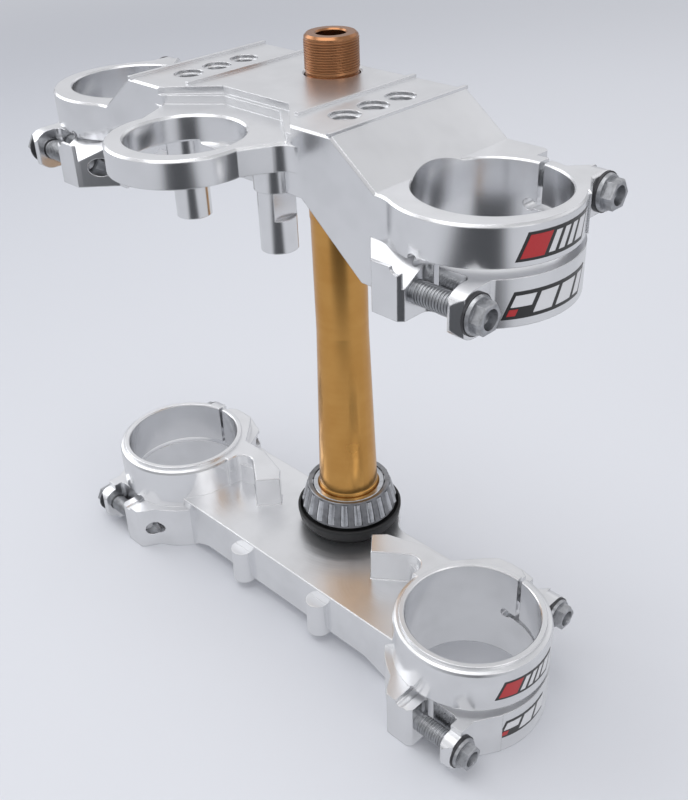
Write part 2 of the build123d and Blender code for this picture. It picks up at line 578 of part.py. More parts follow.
# Lower clamp: half of it is built and mirrored
with BuildPart() as lower_clamp:
    # plate with a lowered underside between the legs
    with BuildSketch(Plane.XZ.offset(-PLATE_TAIL_R - PLATE_TAIL_Y)):
        with BuildLine():
            Polyline(
                (0, PLATE_UNDERSIDE),
                (PLATE_FLAT_X, PLATE_UNDERSIDE),
                (PLATE_DROP_X, 0),
                (FORK_X, 0),
                (FORK_X, PLATE_TOP),
                (0, PLATE_TOP),
                close=True,
            )
        make_face()
    extrude(amount=PLATE_TAIL_R + PLATE_TAIL_Y + PLATE_FRONT)
    with BuildSketch() as plate_plan:
        with BuildLine():
            Polyline(
                (0, -PLATE_FRONT),
                (FORK_X, -PLATE_FRONT),
                (FORK_X, PLATE_REAR + PLATE_REAR_FLARE),
                (FORK_X - LOWER_BORE_R, PLATE_REAR),
                (0, PLATE_REAR),
                close=True,
            )
        make_face()
        with Locations((0, PLATE_TAIL_Y)):
            Circle(PLATE_TAIL_R)
        tail_x = math.sqrt(PLATE_TAIL_R**2 - (PLATE_REAR - PLATE_TAIL_Y) ** 2)
        fillet(plate_plan.vertices().sort_by_distance((tail_x, PLATE_REAR))[0], PLATE_TAIL_BLEND)
    extrude(amount=LOWER_HEIGHT, mode=Mode.INTERSECT)
    # boss that the rear bolt screws into
    with BuildSketch(Plane.XY.offset(PLATE_UNDERSIDE)):
        with BuildLine():
            Polyline(
                STOP_BACK,
                (FORK_X, FORK_Y),
                (FORK_X + LOWER_REAR_SLIT, FORK_Y + LOWER_REAR_REACH + LUG_MARGIN - BOSS_CORNER),
                (FORK_X + REAR_BOSS_FACE, FORK_Y + LOWER_REAR_REACH + LUG_MARGIN),
                (FORK_X + REAR_BOSS_FACE - BOSS_LENGTH, PLATE_REAR + REAR_BOSS_STEP),
                SHOULDER_BACK[1],
                SHOULDER_BACK[0],
                close=True,
            )
        make_face()
    extrude(amount=REAR_BOSS_TOP - PLATE_UNDERSIDE)
    # shoulder as high as the collar's step, with the stop block and the rounded pocket beside it
    with BuildSketch(Plane.XY.offset(PLATE_UNDERSIDE)) as shoulder:
        with BuildLine():
            Polyline(
                STOP_END,
                STOP_TIP,
                STOP_POCKET_CORNER,
                (STOP_POCKET_CORNER[0], STOP_POCKET_OPEN_Y),
                (FORK_X, STOP_POCKET_OPEN_Y),
                (FORK_X + LOWER_REAR_SLIT, FORK_Y + LOWER_BORE_R + COLLAR_WALL),
                *SHOULDER_BACK[::-1],
                STOP_BACK,
                close=True,
            )
        make_face()
        fillet(shoulder.vertices().sort_by_distance(STOP_POCKET_CORNER)[0], STOP_POCKET_R)
    extrude(amount=SHOULDER_TOP - STEP_CHAMFER - PLATE_UNDERSIDE)
    shoulder_edge = Location((0, 0, SHOULDER_TOP - STEP_CHAMFER - PLATE_UNDERSIDE))
    extrude(shoulder_edge * shoulder.sketch, amount=STEP_CHAMFER, taper=45)
    plate_rims = vertical_rim(lower_clamp, PLATE_TOP - 1, PLATE_TOP + 1)
    chamfer([e for e in plate_rims if e.center().X < PLATE_FLAT_X], STEP_CHAMFER)
    # collar with its stepped lip
    with BuildSketch(Plane.XZ.offset(-FORK_Y)):
        collar_r = LOWER_BORE_R + COLLAR_WALL
        lip_r = LOWER_BORE_R + COLLAR_LIP_WALL
        middle = COLLAR_ROUND_MIDDLE * COLLAR_ROUND
        with BuildLine():
            Polyline(
                (FORK_X, 0),
                (FORK_X + collar_r, 0),
                (FORK_X + collar_r, SHOULDER_TOP - COLLAR_ROUND),
                (FORK_X + collar_r - middle, SHOULDER_TOP - middle),
                (FORK_X + collar_r - COLLAR_ROUND, SHOULDER_TOP),
                (FORK_X + lip_r, SHOULDER_TOP),
                (FORK_X + lip_r, LOWER_HEIGHT - COLLAR_LIP_BEVEL),
                (FORK_X + lip_r - COLLAR_LIP_BEVEL, LOWER_HEIGHT),
                (FORK_X, LOWER_HEIGHT),
                close=True,
            )
        make_face()
    revolve(axis=Axis((FORK_X, FORK_Y, 0), (0, 0, 1)))
    # lower band with its lug and the tapped boss
    with BuildSketch():
        with Locations((FORK_X + LOWER_BAND_LEAN[0], FORK_Y + LOWER_BAND_LEAN[1])):
            Circle(LOWER_BORE_R + LOWER_BAND_WALL)
        with Locations((FORK_X, FORK_Y)):
            Polygon(*lug_outline(LOWER_FRONT_REACH, LOWER_FRONT_LUG_FACE, -1, False), align=None)
            Polygon(*front_boss_outline(-LOWER_FRONT_REACH - LOWER_BOSS_MARGIN, FORK_OFFSET - PLATE_FRONT,
                                        LOWER_FRONT_BOSS_FACE), align=None)
    extrude(amount=LOWER_SLOT_Z)
    # upper band's lug at the rear
    with BuildSketch(Plane.XY.offset(LOWER_SLOT_Z)):
        with Locations((FORK_X, FORK_Y)):
            Polygon(*lug_outline(LOWER_REAR_REACH, LOWER_REAR_LUG_FACE, 1, True), align=None)
    extrude(amount=LOWER_REAR_Z + LUG_MARGIN - LOWER_SLOT_Z)
    round_lug_corners(LOWER_REAR_REACH, 1, LOWER_REAR_Z, LUG_MARGIN, LOWER_REAR_LUG_FACE)
    round_lug_corners(LOWER_FRONT_REACH, -1, LOWER_FRONT_Z, LUG_MARGIN + LUG_TIP_BEVEL[1],
                      LOWER_FRONT_LUG_FACE)
    notch(LOWER_FRONT_REACH, 0, LOWER_SLOT_Z, LOWER_FRONT_LUG_FACE, LOWER_FRONT_BOSS_FACE)
    with BuildSketch():
        with Locations((FORK_X, FORK_Y)):
            Circle(LOWER_BORE_R)
    extrude(amount=PAD_TOP, mode=Mode.SUBTRACT)
    chamfer(level_rim(lower_clamp, LOWER_BORE_R, LOWER_HEIGHT), BORE_CHAMFER)
    free_bands(LOWER_BORE_R, 0, LOWER_HEIGHT, LOWER_SLOT_Z, LOWER_FRONT_SLIT, LOWER_REAR_SLIT)
    for reach, height, face, boss in (PINCHES["lower_front"], PINCHES["lower_rear"]):
        pinch_holes(FORK_Y + reach, height, face, boss)
        spot_face(FORK_Y + reach, height, face)
    # fender boss on the front wall
    with BuildSketch(Plane.XY.offset(FENDER_BOTTOM)):
        with Locations((FENDER_X, -PLATE_FRONT)):
            Circle(FENDER_R)
    extrude(amount=FENDER_TOP - FENDER_BOTTOM)
    with BuildSketch(Plane.XY.offset(FENDER_BOTTOM)):
        with Locations((FENDER_X, -PLATE_FRONT)):
            Circle(FENDER_THREAD_R)
    extrude(amount=FENDER_THREAD_DEPTH, mode=Mode.SUBTRACT)
    mirror(about=Plane.YZ)
    # seat for the seal and bearing, and the bore that the stem is pressed into
    with BuildSketch(Plane.XY.offset(PLATE_TOP)):
        Circle(SEAT_R)
    extrude(amount=SEAT_RISE)
    with BuildSketch():
        Circle(STEM_SEAT_R + STEM_FIT)
    extrude(amount=LOWER_HEIGHT, mode=Mode.SUBTRACT)
lower_clamp.part.label = "lower_clamp"
export_step(lower_clamp.part, "parts/lower_clamp.step")

# Stem: one turned tube with a foot flange, a bearing seat, a taper, the upper seat and the thread
upper_seat_z = UPPER_UNDERSIDE - UPPER_SEAT_DROP - UPPER_SEAT_LENGTH
with BuildPart() as steering_stem:
    with BuildSketch(Plane.XZ):
        with BuildLine():
            Polyline(
                (STEM_BORE_R, 0),
                (STEM_SEAT_R, 0),
                (STEM_SEAT_R, PLATE_UNDERSIDE - STEM_FLANGE_THICK),
                (STEM_FLANGE_R, PLATE_UNDERSIDE - STEM_FLANGE_THICK),
                (STEM_FLANGE_R, PLATE_UNDERSIDE),
                (STEM_SEAT_R, PLATE_UNDERSIDE),
                (STEM_SEAT_R, STEM_SEAT_LENGTH),
                (STEM_SEAT_R - STEM_STEP_BEVEL, STEM_SEAT_LENGTH + STEM_STEP_BEVEL),
                (STEM_BODY_R, STEM_TAPER_TOP),
                (STEM_BODY_R, upper_seat_z),
                (UPPER_SEAT_R, upper_seat_z + UPPER_SEAT_LEAD),
                (UPPER_SEAT_R, UPPER_UNDERSIDE),
                (THREAD_R, UPPER_UNDERSIDE),
                (THREAD_R, PAD_TOP - THREAD_RELIEF / 2),
                (THREAD_R - THREAD_RELIEF_DEPTH, PAD_TOP - THREAD_RELIEF / 2),
                (THREAD_R - THREAD_RELIEF_DEPTH, PAD_TOP + THREAD_RELIEF / 2),
                (THREAD_R, PAD_TOP + THREAD_RELIEF / 2),
                (THREAD_R, STEM_TOP - STEM_TOP_BEVEL),
                (THREAD_R - STEM_TOP_BEVEL, STEM_TOP),
                (STEM_TOP_BORE_R + STEM_MOUTH_BEVEL, STEM_TOP),
                (STEM_TOP_BORE_R, STEM_TOP - STEM_MOUTH_BEVEL),
                (STEM_TOP_BORE_R, STEM_TOP - STEM_TOP_BORE_LENGTH),
                (STEM_BORE_R, STEM_TOP - STEM_TOP_BORE_LENGTH - STEM_BORE_RUNOUT),
                close=True,
            )
        make_face()
    revolve(axis=Axis.Z)
steering_stem.part.label = "steering_stem"
export_step(steering_stem.part, "parts/steering_stem.step")

# Bearing: points are given by their distance along the roller's axis and out from it
TILT = math.radians(ROLLER_TILT)
ROLLER_Z = RACE_TOP - ROLLER_BELOW_TOP
APEX = ROLLER_CIRCLE_R / math.sin(TILT)
HALF_TAPER = math.atan(ROLLER_R / APEX)
HALF_ROLLER = ROLLER_LENGTH / 2


def cone_point(along, out):
    """Radius and height of a point beside a roller's axis; along runs down it, out points outwards."""
    radius = ROLLER_CIRCLE_R + along * math.sin(TILT) + out * math.cos(TILT)
    return (radius, ROLLER_Z - along * math.cos(TILT) + out * math.sin(TILT))


def roller_radius(along):
    """Radius of the tapered roller at a distance along its axis."""
    return (APEX + along) * math.tan(HALF_TAPER)


def radial_plane(angle):
    """Upright plane through the stem's axis, turned by an angle in degrees."""
    turn = math.radians(angle)
    return Plane(
        origin=(0, 0, 0),
        x_dir=(math.cos(turn), math.sin(turn), 0),
        z_dir=(math.sin(turn), -math.cos(turn), 0),
    )


def roller_axis(angle):
    """Axis of the roller at an angle round the stem."""
    turn = math.radians(angle)
    place = (ROLLER_CIRCLE_R * math.cos(turn), ROLLER_CIRCLE_R * math.sin(turn), ROLLER_Z)
    slope = (math.sin(TILT) * math.cos(turn), math.sin(TILT) * math.sin(turn), -math.cos(TILT))
    return Axis(place, slope)


def roller_outline(grow, longer):
    """Half section of a roller, grown in radius and in length at each end."""
    ends = (-HALF_ROLLER - longer, HALF_ROLLER + longer)
    return [
        cone_point(ends[0], 0),
        cone_point(ends[0], roller_radius(ends[0]) + grow),
        cone_point(ends[1], roller_radius(ends[1]) + grow),
        cone_point(ends[1], 0),
    ]


race_gap = HALF_ROLLER + CAGE_FIT
rib_low = cone_point(race_gap, -RACE_GROOVE)
with BuildPart() as bearing_inner_race:
    with BuildSketch(Plane.XZ):
        with BuildLine():
            Polyline(
                (STEM_SEAT_R + STEM_FIT, RACE_BOTTOM),
                (rib_low[0] - RACE_FOOT_BEVEL, RACE_BOTTOM),
                (rib_low[0], RACE_BOTTOM + RACE_FOOT_BEVEL),
                rib_low,
                cone_point(race_gap, -roller_radius(race_gap) - ROLLER_FIT),
                cone_point(-race_gap, -roller_radius(-race_gap) - ROLLER_FIT),
                (RACE_RIB_R, RACE_TOP - RACE_RIB_THICK),
                (RACE_RIB_R, RACE_TOP - RACE_RIB_BEVEL),
                (RACE_RIB_R - RACE_RIB_BEVEL, RACE_TOP),
                (STEM_SEAT_R + STEM_FIT + RACE_BORE_BEVEL, RACE_TOP),
                (STEM_SEAT_R + STEM_FIT, RACE_TOP - RACE_BORE_BEVEL),
                close=True,
            )
        make_face()
    revolve(axis=Axis.Z)
bearing_inner_race.part.label = "bearing_inner_race"
export_step(bearing_inner_race.part, "parts/bearing_inner_race.step")

cage_end = HALF_ROLLER + CAGE_FIT + CAGE_PLAY
cage_outer = CAGE_OFFSET + CAGE_THICK
flange_in = (RACE_RIB_R + CAGE_RACE_GAP - cone_point(-cage_end - CAGE_END, 0)[0]) / math.cos(TILT)
with BuildPart() as bearing_cage:
    with BuildSketch(Plane.XZ):
        with BuildLine():
            Polyline(
                cone_point(-cage_end - CAGE_END, flange_in),
                cone_point(-cage_end - CAGE_END, cage_outer - CAGE_BEVEL),
                cone_point(-cage_end - CAGE_END + CAGE_BEVEL, cage_outer),
                cone_point(cage_end + CAGE_END, cage_outer),
                cone_point(cage_end + CAGE_END, CAGE_OFFSET),
                cone_point(-cage_end, CAGE_OFFSET),
                cone_point(-cage_end, flange_in),
                close=True,
            )
        make_face()
    revolve(axis=Axis.Z)
    for index in range(ROLLER_COUNT):
        angle = index * 360 / ROLLER_COUNT
        with BuildSketch(radial_plane(angle)):
            with BuildLine():
                Polyline(*roller_outline(CAGE_FIT, CAGE_FIT), close=True)
            make_face()
        revolve(axis=roller_axis(angle), mode=Mode.SUBTRACT)
bearing_cage.part.label = "bearing_cage"
export_step(bearing_cage.part, "parts/bearing_cage.step")

for index in range(ROLLER_COUNT):
    angle = index * 360 / ROLLER_COUNT
    with BuildPart() as roller:
        with BuildSketch(radial_plane(angle)):
            with BuildLine():
                Polyline(*roller_outline(0, 0), close=True)
            make_face()
            with BuildLine():
                Polyline(
                    cone_point(HALF_ROLLER - ROLLER_RECESS_DEPTH, 0),
                    cone_point(HALF_ROLLER - ROLLER_RECESS_DEPTH, ROLLER_RECESS_R),
                    cone_point(HALF_ROLLER, ROLLER_RECESS_R),
                    cone_point(HALF_ROLLER, 0),
                    close=True,
                )
            make_face(mode=Mode.SUBTRACT)
        revolve(axis=roller_axis(angle))
    roller.part.label = f"bearing_roller_{index + 1:02d}"
    export_step(roller.part, f"parts/{roller.part.label}.step")

# Rubber seal: a web under the race and a lip that rises round the cage's lower edge
seal_lip_z = RACE_TOP - SEAL_LIP_DROP
with BuildPart() as bearing_seal:
    with BuildSketch(Plane.XZ):
        with BuildLine():
            Polyline(
                (STEM_SEAT_R + SEAL_FIT, SEAT_TOP),
                (SEAT_R + SEAL_FIT, SEAT_TOP),
                (SEAT_R + SEAL_FIT, PLATE_TOP),
                (SEAT_R + SEAL_FOOT, PLATE_TOP),
                (SEAL_R - SEAL_EDGE, SEAT_TOP + SEAL_EDGE),
                (SEAL_R, seal_lip_z - SEAL_LIP_HEIGHT),
                (SEAL_R, seal_lip_z - SEAL_LIP_BEVEL),
                (SEAL_R - SEAL_LIP_BEVEL, seal_lip_z),
                (SEAL_R - SEAL_LIP, seal_lip_z),
                (SEAL_R - SEAL_LIP - SEAL_LIP_ROOT, RACE_BOTTOM + SEAL_LIP_ROOT),
                (SEAT_R + SEAL_HEEL, RACE_BOTTOM),
                (STEM_SEAT_R + SEAL_FIT, RACE_BOTTOM),
                close=True,
            )
        make_face()
    revolve(axis=Axis.Z)
bearing_seal.part.label = "bearing_seal"
export_step(bearing_seal.part, "parts/bearing_seal.step")

# Pinch bolts and washers, heads outwards, on both sides
for place, (reach, height, face, _) in PINCHES.items():
    for side_name, side in (("right", 1), ("left", -1)):
        lug_face = side * (FORK_X + face)
        outward = Plane(origin=(lug_face, FORK_Y + reach, height), x_dir=(0, 1, 0), z_dir=(side, 0, 0))
        with BuildPart() as washer:
            with BuildSketch(outward):
                Circle(WASHER_R)
                Circle(WASHER_HOLE_R, mode=Mode.SUBTRACT)
            extrude(amount=WASHER_THICK)
        washer.part.label = f"{place}_washer_{side_name}"
        export_step(washer.part, f"parts/{washer.part.label}.step")

        seat = outward.offset(WASHER_THICK)
        with BuildPart() as bolt:
            with BuildSketch(seat):
                Circle(FLANGE_R)
            extrude(amount=FLANGE_THICK, taper=FLANGE_TAPER)
            with BuildSketch(seat.offset(FLANGE_THICK)):
                RegularPolygon(HEX_ACROSS_FLATS / 2, 6, major_radius=False)
            extrude(amount=HEX_HEIGHT)
            chamfer(bolt.faces().sort_by(Axis(seat.origin, seat.z_dir))[-1].edges(), HEX_BEVEL)
            with BuildSketch(seat.offset(FLANGE_THICK + HEX_HEIGHT)):
                Circle(HEX_CUP_R)
            extrude(amount=-HEX_CUP_DEPTH, taper=HEX_CUP_TAPER, mode=Mode.SUBTRACT)
            with BuildSketch(seat):
                Circle(BOLT_R)
            extrude(amount=-BOLT_LENGTH)
            chamfer(bolt.faces().sort_by(Axis(seat.origin, seat.z_dir))[0].edges(), BOLT_TIP_BEVEL)
        bolt.part.label = f"{place}_bolt_{side_name}"
        export_step(bolt.part, f"parts/{bolt.part.label}.step")
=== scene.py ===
"""Looks of a motorcycle triple clamp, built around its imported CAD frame.

Everything is in metres in the frame of the CAD, unless a name or a comment says millimetres: the origin is
on the stem's axis in the plane of the lower clamp's bottom faces, +Z runs up the stem, -Y is the front and
+X points to one fork leg.
"""

import json
import logging
import math
from collections.abc import Iterator, Sequence
from dataclasses import dataclass
from enum import Enum

import bpy
import numpy as np
from mathutils import Matrix, Vector


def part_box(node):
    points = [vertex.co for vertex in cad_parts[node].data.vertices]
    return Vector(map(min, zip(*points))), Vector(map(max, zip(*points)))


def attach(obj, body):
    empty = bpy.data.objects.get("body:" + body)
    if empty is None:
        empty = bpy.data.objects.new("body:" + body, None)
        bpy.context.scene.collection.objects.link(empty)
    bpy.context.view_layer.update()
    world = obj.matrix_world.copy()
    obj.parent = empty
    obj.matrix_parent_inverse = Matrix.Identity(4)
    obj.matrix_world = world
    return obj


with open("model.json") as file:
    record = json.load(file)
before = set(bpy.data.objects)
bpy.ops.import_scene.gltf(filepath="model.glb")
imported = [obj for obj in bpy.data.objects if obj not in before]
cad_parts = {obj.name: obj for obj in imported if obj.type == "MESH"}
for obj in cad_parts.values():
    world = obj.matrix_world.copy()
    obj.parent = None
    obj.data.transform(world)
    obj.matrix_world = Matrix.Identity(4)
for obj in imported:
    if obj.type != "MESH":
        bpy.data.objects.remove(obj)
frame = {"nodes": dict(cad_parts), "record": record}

log = logging.getLogger("triple_clamp")

Color = tuple[float, float, float]
Value = bpy.types.NodeSocket | float | Sequence[float]

MM = 0.001
TURN = 2 * math.pi
ROOT_BODY = "clamps"

# Image and camera, fitted to the photograph
IMAGE_HEIGHT_PX = 800
SENSOR_MM = 36.0
FOCAL_PX = 1026.0
CAMERA_PLACE_MM = (300.2, -290.4, 366.9)
CAMERA_AZIMUTH = 46.05
CAMERA_ELEVATION = 32.53
CAMERA_ROLL = -2.33
CLIP_START = 0.01

# Sizes repeated from the CAD, in millimetres
FORK_X = 102.25
FORK_Y = -27.3
PAD_TOP = 257.0
THREAD_R = 10.9
THREAD_TOP = 271.3
BOLT_R = 3.95
HEAD_LENGTH = 6.2
LUG_THICK = 5.8
MOUNT_X = 44.6
MOUNT_Y = -23.3
MOUNT_SPACING = 14.7
MOUNT_HOLE_R = 5.1
MOUNT_RECESS = 1.6

# Boss faces that the pinch bolts leave, in millimetres outboard of the fork leg's axis
BOSS_FACES = {"upper_front": -0.5, "upper_rear": -5.4, "lower_front": 2.6, "lower_rear": -5.4}

# Threads, in millimetres: pitch, height of the ridge, and how far it stays clear of both ends
STEM_PITCH = 1.0
STEM_RIDGE = 0.28
STEM_RIDGE_FOOT = 0.7
STEM_RIDGE_HEAD = 0.1
STEM_STEPS_PER_TURN = 96
COARSE_PITCH = 1.25
MOUNT_RIDGE = 0.45
MOUNT_RIDGE_DEPTH = 14.0
MOUNT_RIDGE_TOP = 0.2
BOLT_RIDGE = 0.33
BOLT_RIDGE_CLEAR = 0.3

# Shape of a thread's ridge: half its foot as a share of the pitch, how deep the foot sits in the cylinder in
# millimetres, how fast it fades in per turn and its least share of the full height
RIDGE_HALF = 0.42
RIDGE_SINK = 0.02
RIDGE_FADE_PER_TURN = 3.0
RIDGE_LEAST = 0.05

# Decals, in millimetres
DECAL_HEIGHT = 9.6
DECAL_SLANT = 4.0
DECAL_FILM = 0.03
DECAL_SINK = 0.01
DECAL_STEP = 0.8
UNDER_PRINT = 0.06
OVER_PRINT = 0.10

BEVEL_SAMPLES = 4


class Slot(str, Enum):
    """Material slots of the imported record."""

    ALUMINIUM = "machined_aluminium"
    GOLD = "gold_anodised"
    BEARING = "bearing_steel"
    CAGE = "cage_steel"
    RUBBER = "seal_rubber"
    BOLT = "zinc_bolt"
    WASHER = "dark_washer"


class Side(Enum):
    """The two fork legs, by the sign of their X."""

    RIGHT = 1
    LEFT = -1


@dataclass(frozen=True)
class Finish:
    """Constant surface values of one material.

    Attributes:
        name: Material name.
        color: Base colour, linear red, green and blue.
        metallic: Share of metal, 0 or 1.
        roughness: Mean roughness.
        spread: How far roughness strays from the mean.
        edge_mm: Radius of the edge rounding that the shader shows.
        bump: Height of the surface marks, in millimetres.
        coat: Weight of the clear layer.
        cloud: Broad patches per metre.
        grain: Fine marks per metre.
        shade: Share of the colour that the darker patches keep.
        patch: Noise between which a darker patch starts and is full.
    """

    name: str
    color: Color
    metallic: float = 1.0
    roughness: float = 0.3
    spread: float = 0.06
    edge_mm: float = 0.3
    bump: float = 0.01
    coat: float = 0.0
    cloud: float = 300.0
    grain: float = 2000.0
    shade: float = 1.0
    patch: tuple[float, float] = (0.35, 0.7)


ALUMINIUM = Finish("machined_aluminium", (0.86, 0.865, 0.88), roughness=0.20, spread=0.03, edge_mm=0.6,
                   bump=0.02, cloud=60.0, grain=520.0, shade=0.93, patch=(0.35, 0.75))
GOLD = Finish("gold_anodised", (0.66, 0.355, 0.105), roughness=0.25, edge_mm=0.3, bump=0.0015, cloud=70.0,
              grain=350.0, patch=(0.35, 0.65))
COPPER = Finish("bronze_thread", (0.40, 0.19, 0.090), roughness=0.32, edge_mm=0.1, bump=0.003, cloud=70.0,
                grain=350.0, patch=(0.35, 0.65))
BEARING = Finish("bearing_steel", (0.55, 0.56, 0.58), roughness=0.20, edge_mm=0.25, bump=0.002, cloud=260.0,
                 grain=4000.0, shade=0.72, patch=(0.4, 0.7))
CAGE = Finish("cage_steel", (0.30, 0.305, 0.32), roughness=0.38, edge_mm=0.15, bump=0.004, cloud=260.0,
              grain=4000.0, shade=0.72, patch=(0.4, 0.7))
RUBBER = Finish("seal_rubber", (0.012, 0.012, 0.013), metallic=0.0, roughness=0.55, edge_mm=0.3, bump=0.03,
                cloud=120.0, grain=1800.0, patch=(0.5, 0.8))
ZINC = Finish("zinc_bolt", (0.50, 0.51, 0.53), roughness=0.33, edge_mm=0.25, bump=0.012, cloud=420.0,
              grain=2600.0, shade=0.70)
WASHER = Finish("dark_washer", (0.10, 0.10, 0.105), roughness=0.42, edge_mm=0.15, bump=0.008, cloud=420.0,
                grain=2600.0, shade=0.70)
DECAL_BLACK = Finish("decal_black", (0.010, 0.010, 0.011), metallic=0.0, roughness=0.35, coat=0.4, bump=0.0,
                     cloud=500.0)
DECAL_WHITE = Finish("decal_white", (0.78, 0.78, 0.80), metallic=0.0, roughness=0.35, coat=0.4, bump=0.0,
                     cloud=500.0)
DECAL_RED = Finish("decal_red", (0.50, 0.012, 0.016), metallic=0.0, roughness=0.35, coat=0.4, bump=0.0,
                   cloud=500.0)

# Anodised metal: what its deeper patches keep of each part of the colour, how much rings and clouds take part
# in them, and how far below the pad's face, in metres, the browner tone of the thread starts and is full
DEEP_TONE = (0.92, 0.88, 0.82)
RING_SHARE = 0.3
CLOUD_SHARE = 0.7
TONE_START = 0.012
TONE_FULL = 0.008

# Dust on rubber: its colour, how much of it shows and what it adds to the roughness
DUST = (0.045, 0.045, 0.048)
DUST_SHARE = 0.35
DUST_ROUGH = 0.12

# How much the gloss of printed film changes
FILM_ROUGH = 0.08


@dataclass(frozen=True)
class MillMarks:
    """Cutter marks on the milled aluminium, in metres and waves per metre.

    Attributes:
        fine: Narrow arcs per metre.
        wide: Broad arcs per metre.
        fine_share: Height of the narrow arcs.
        wide_share: Height of the broad arcs.
        wander: How far noise bends the arcs.
        wander_noise: Bends of the arcs per metre.
        wiping: Patches per metre that the abrasive pad left.
        wiped: Noise between which such a patch starts and is full.
        stem_clear: Radius round the stem where its arcs start.
        block_x: Middle of the arcs at a stop block, to the side of the stem.
        block_y: Middle of the arcs at a stop block, in front of the stem.
        reach: Distances between which the arcs fade.
        top: Heights between which the arcs fade.
        level: Normal's upward share between which a face counts as level.
        wall_lines: Upright lines per metre on walls.
        wall_share: Height of the upright lines.
        stretch: How much the lines on walls are drawn out upwards.
        grain_share: Height of the grain on level faces.
        grain_stretch: How much that grain is drawn out sideways.
        level_rough: What level faces add to the roughness.
    """

    fine: float = 520.0
    wide: float = 170.0
    fine_share: float = 0.35
    wide_share: float = 0.75
    wander: float = 0.006
    wander_noise: float = 30.0
    wiping: float = 34.0
    wiped: tuple[float, float] = (0.35, 0.62)
    stem_clear: float = 0.020
    block_x: float = 0.050
    block_y: float = 0.020
    reach: tuple[float, float] = (0.040, 0.018)
    top: tuple[float, float] = (0.05, 0.04)
    level: tuple[float, float] = (0.55, 0.9)
    wall_lines: float = 420.0
    wall_share: float = 0.5
    stretch: float = 0.02
    grain_share: float = 0.25
    grain_stretch: float = 0.03
    level_rough: float = 0.14


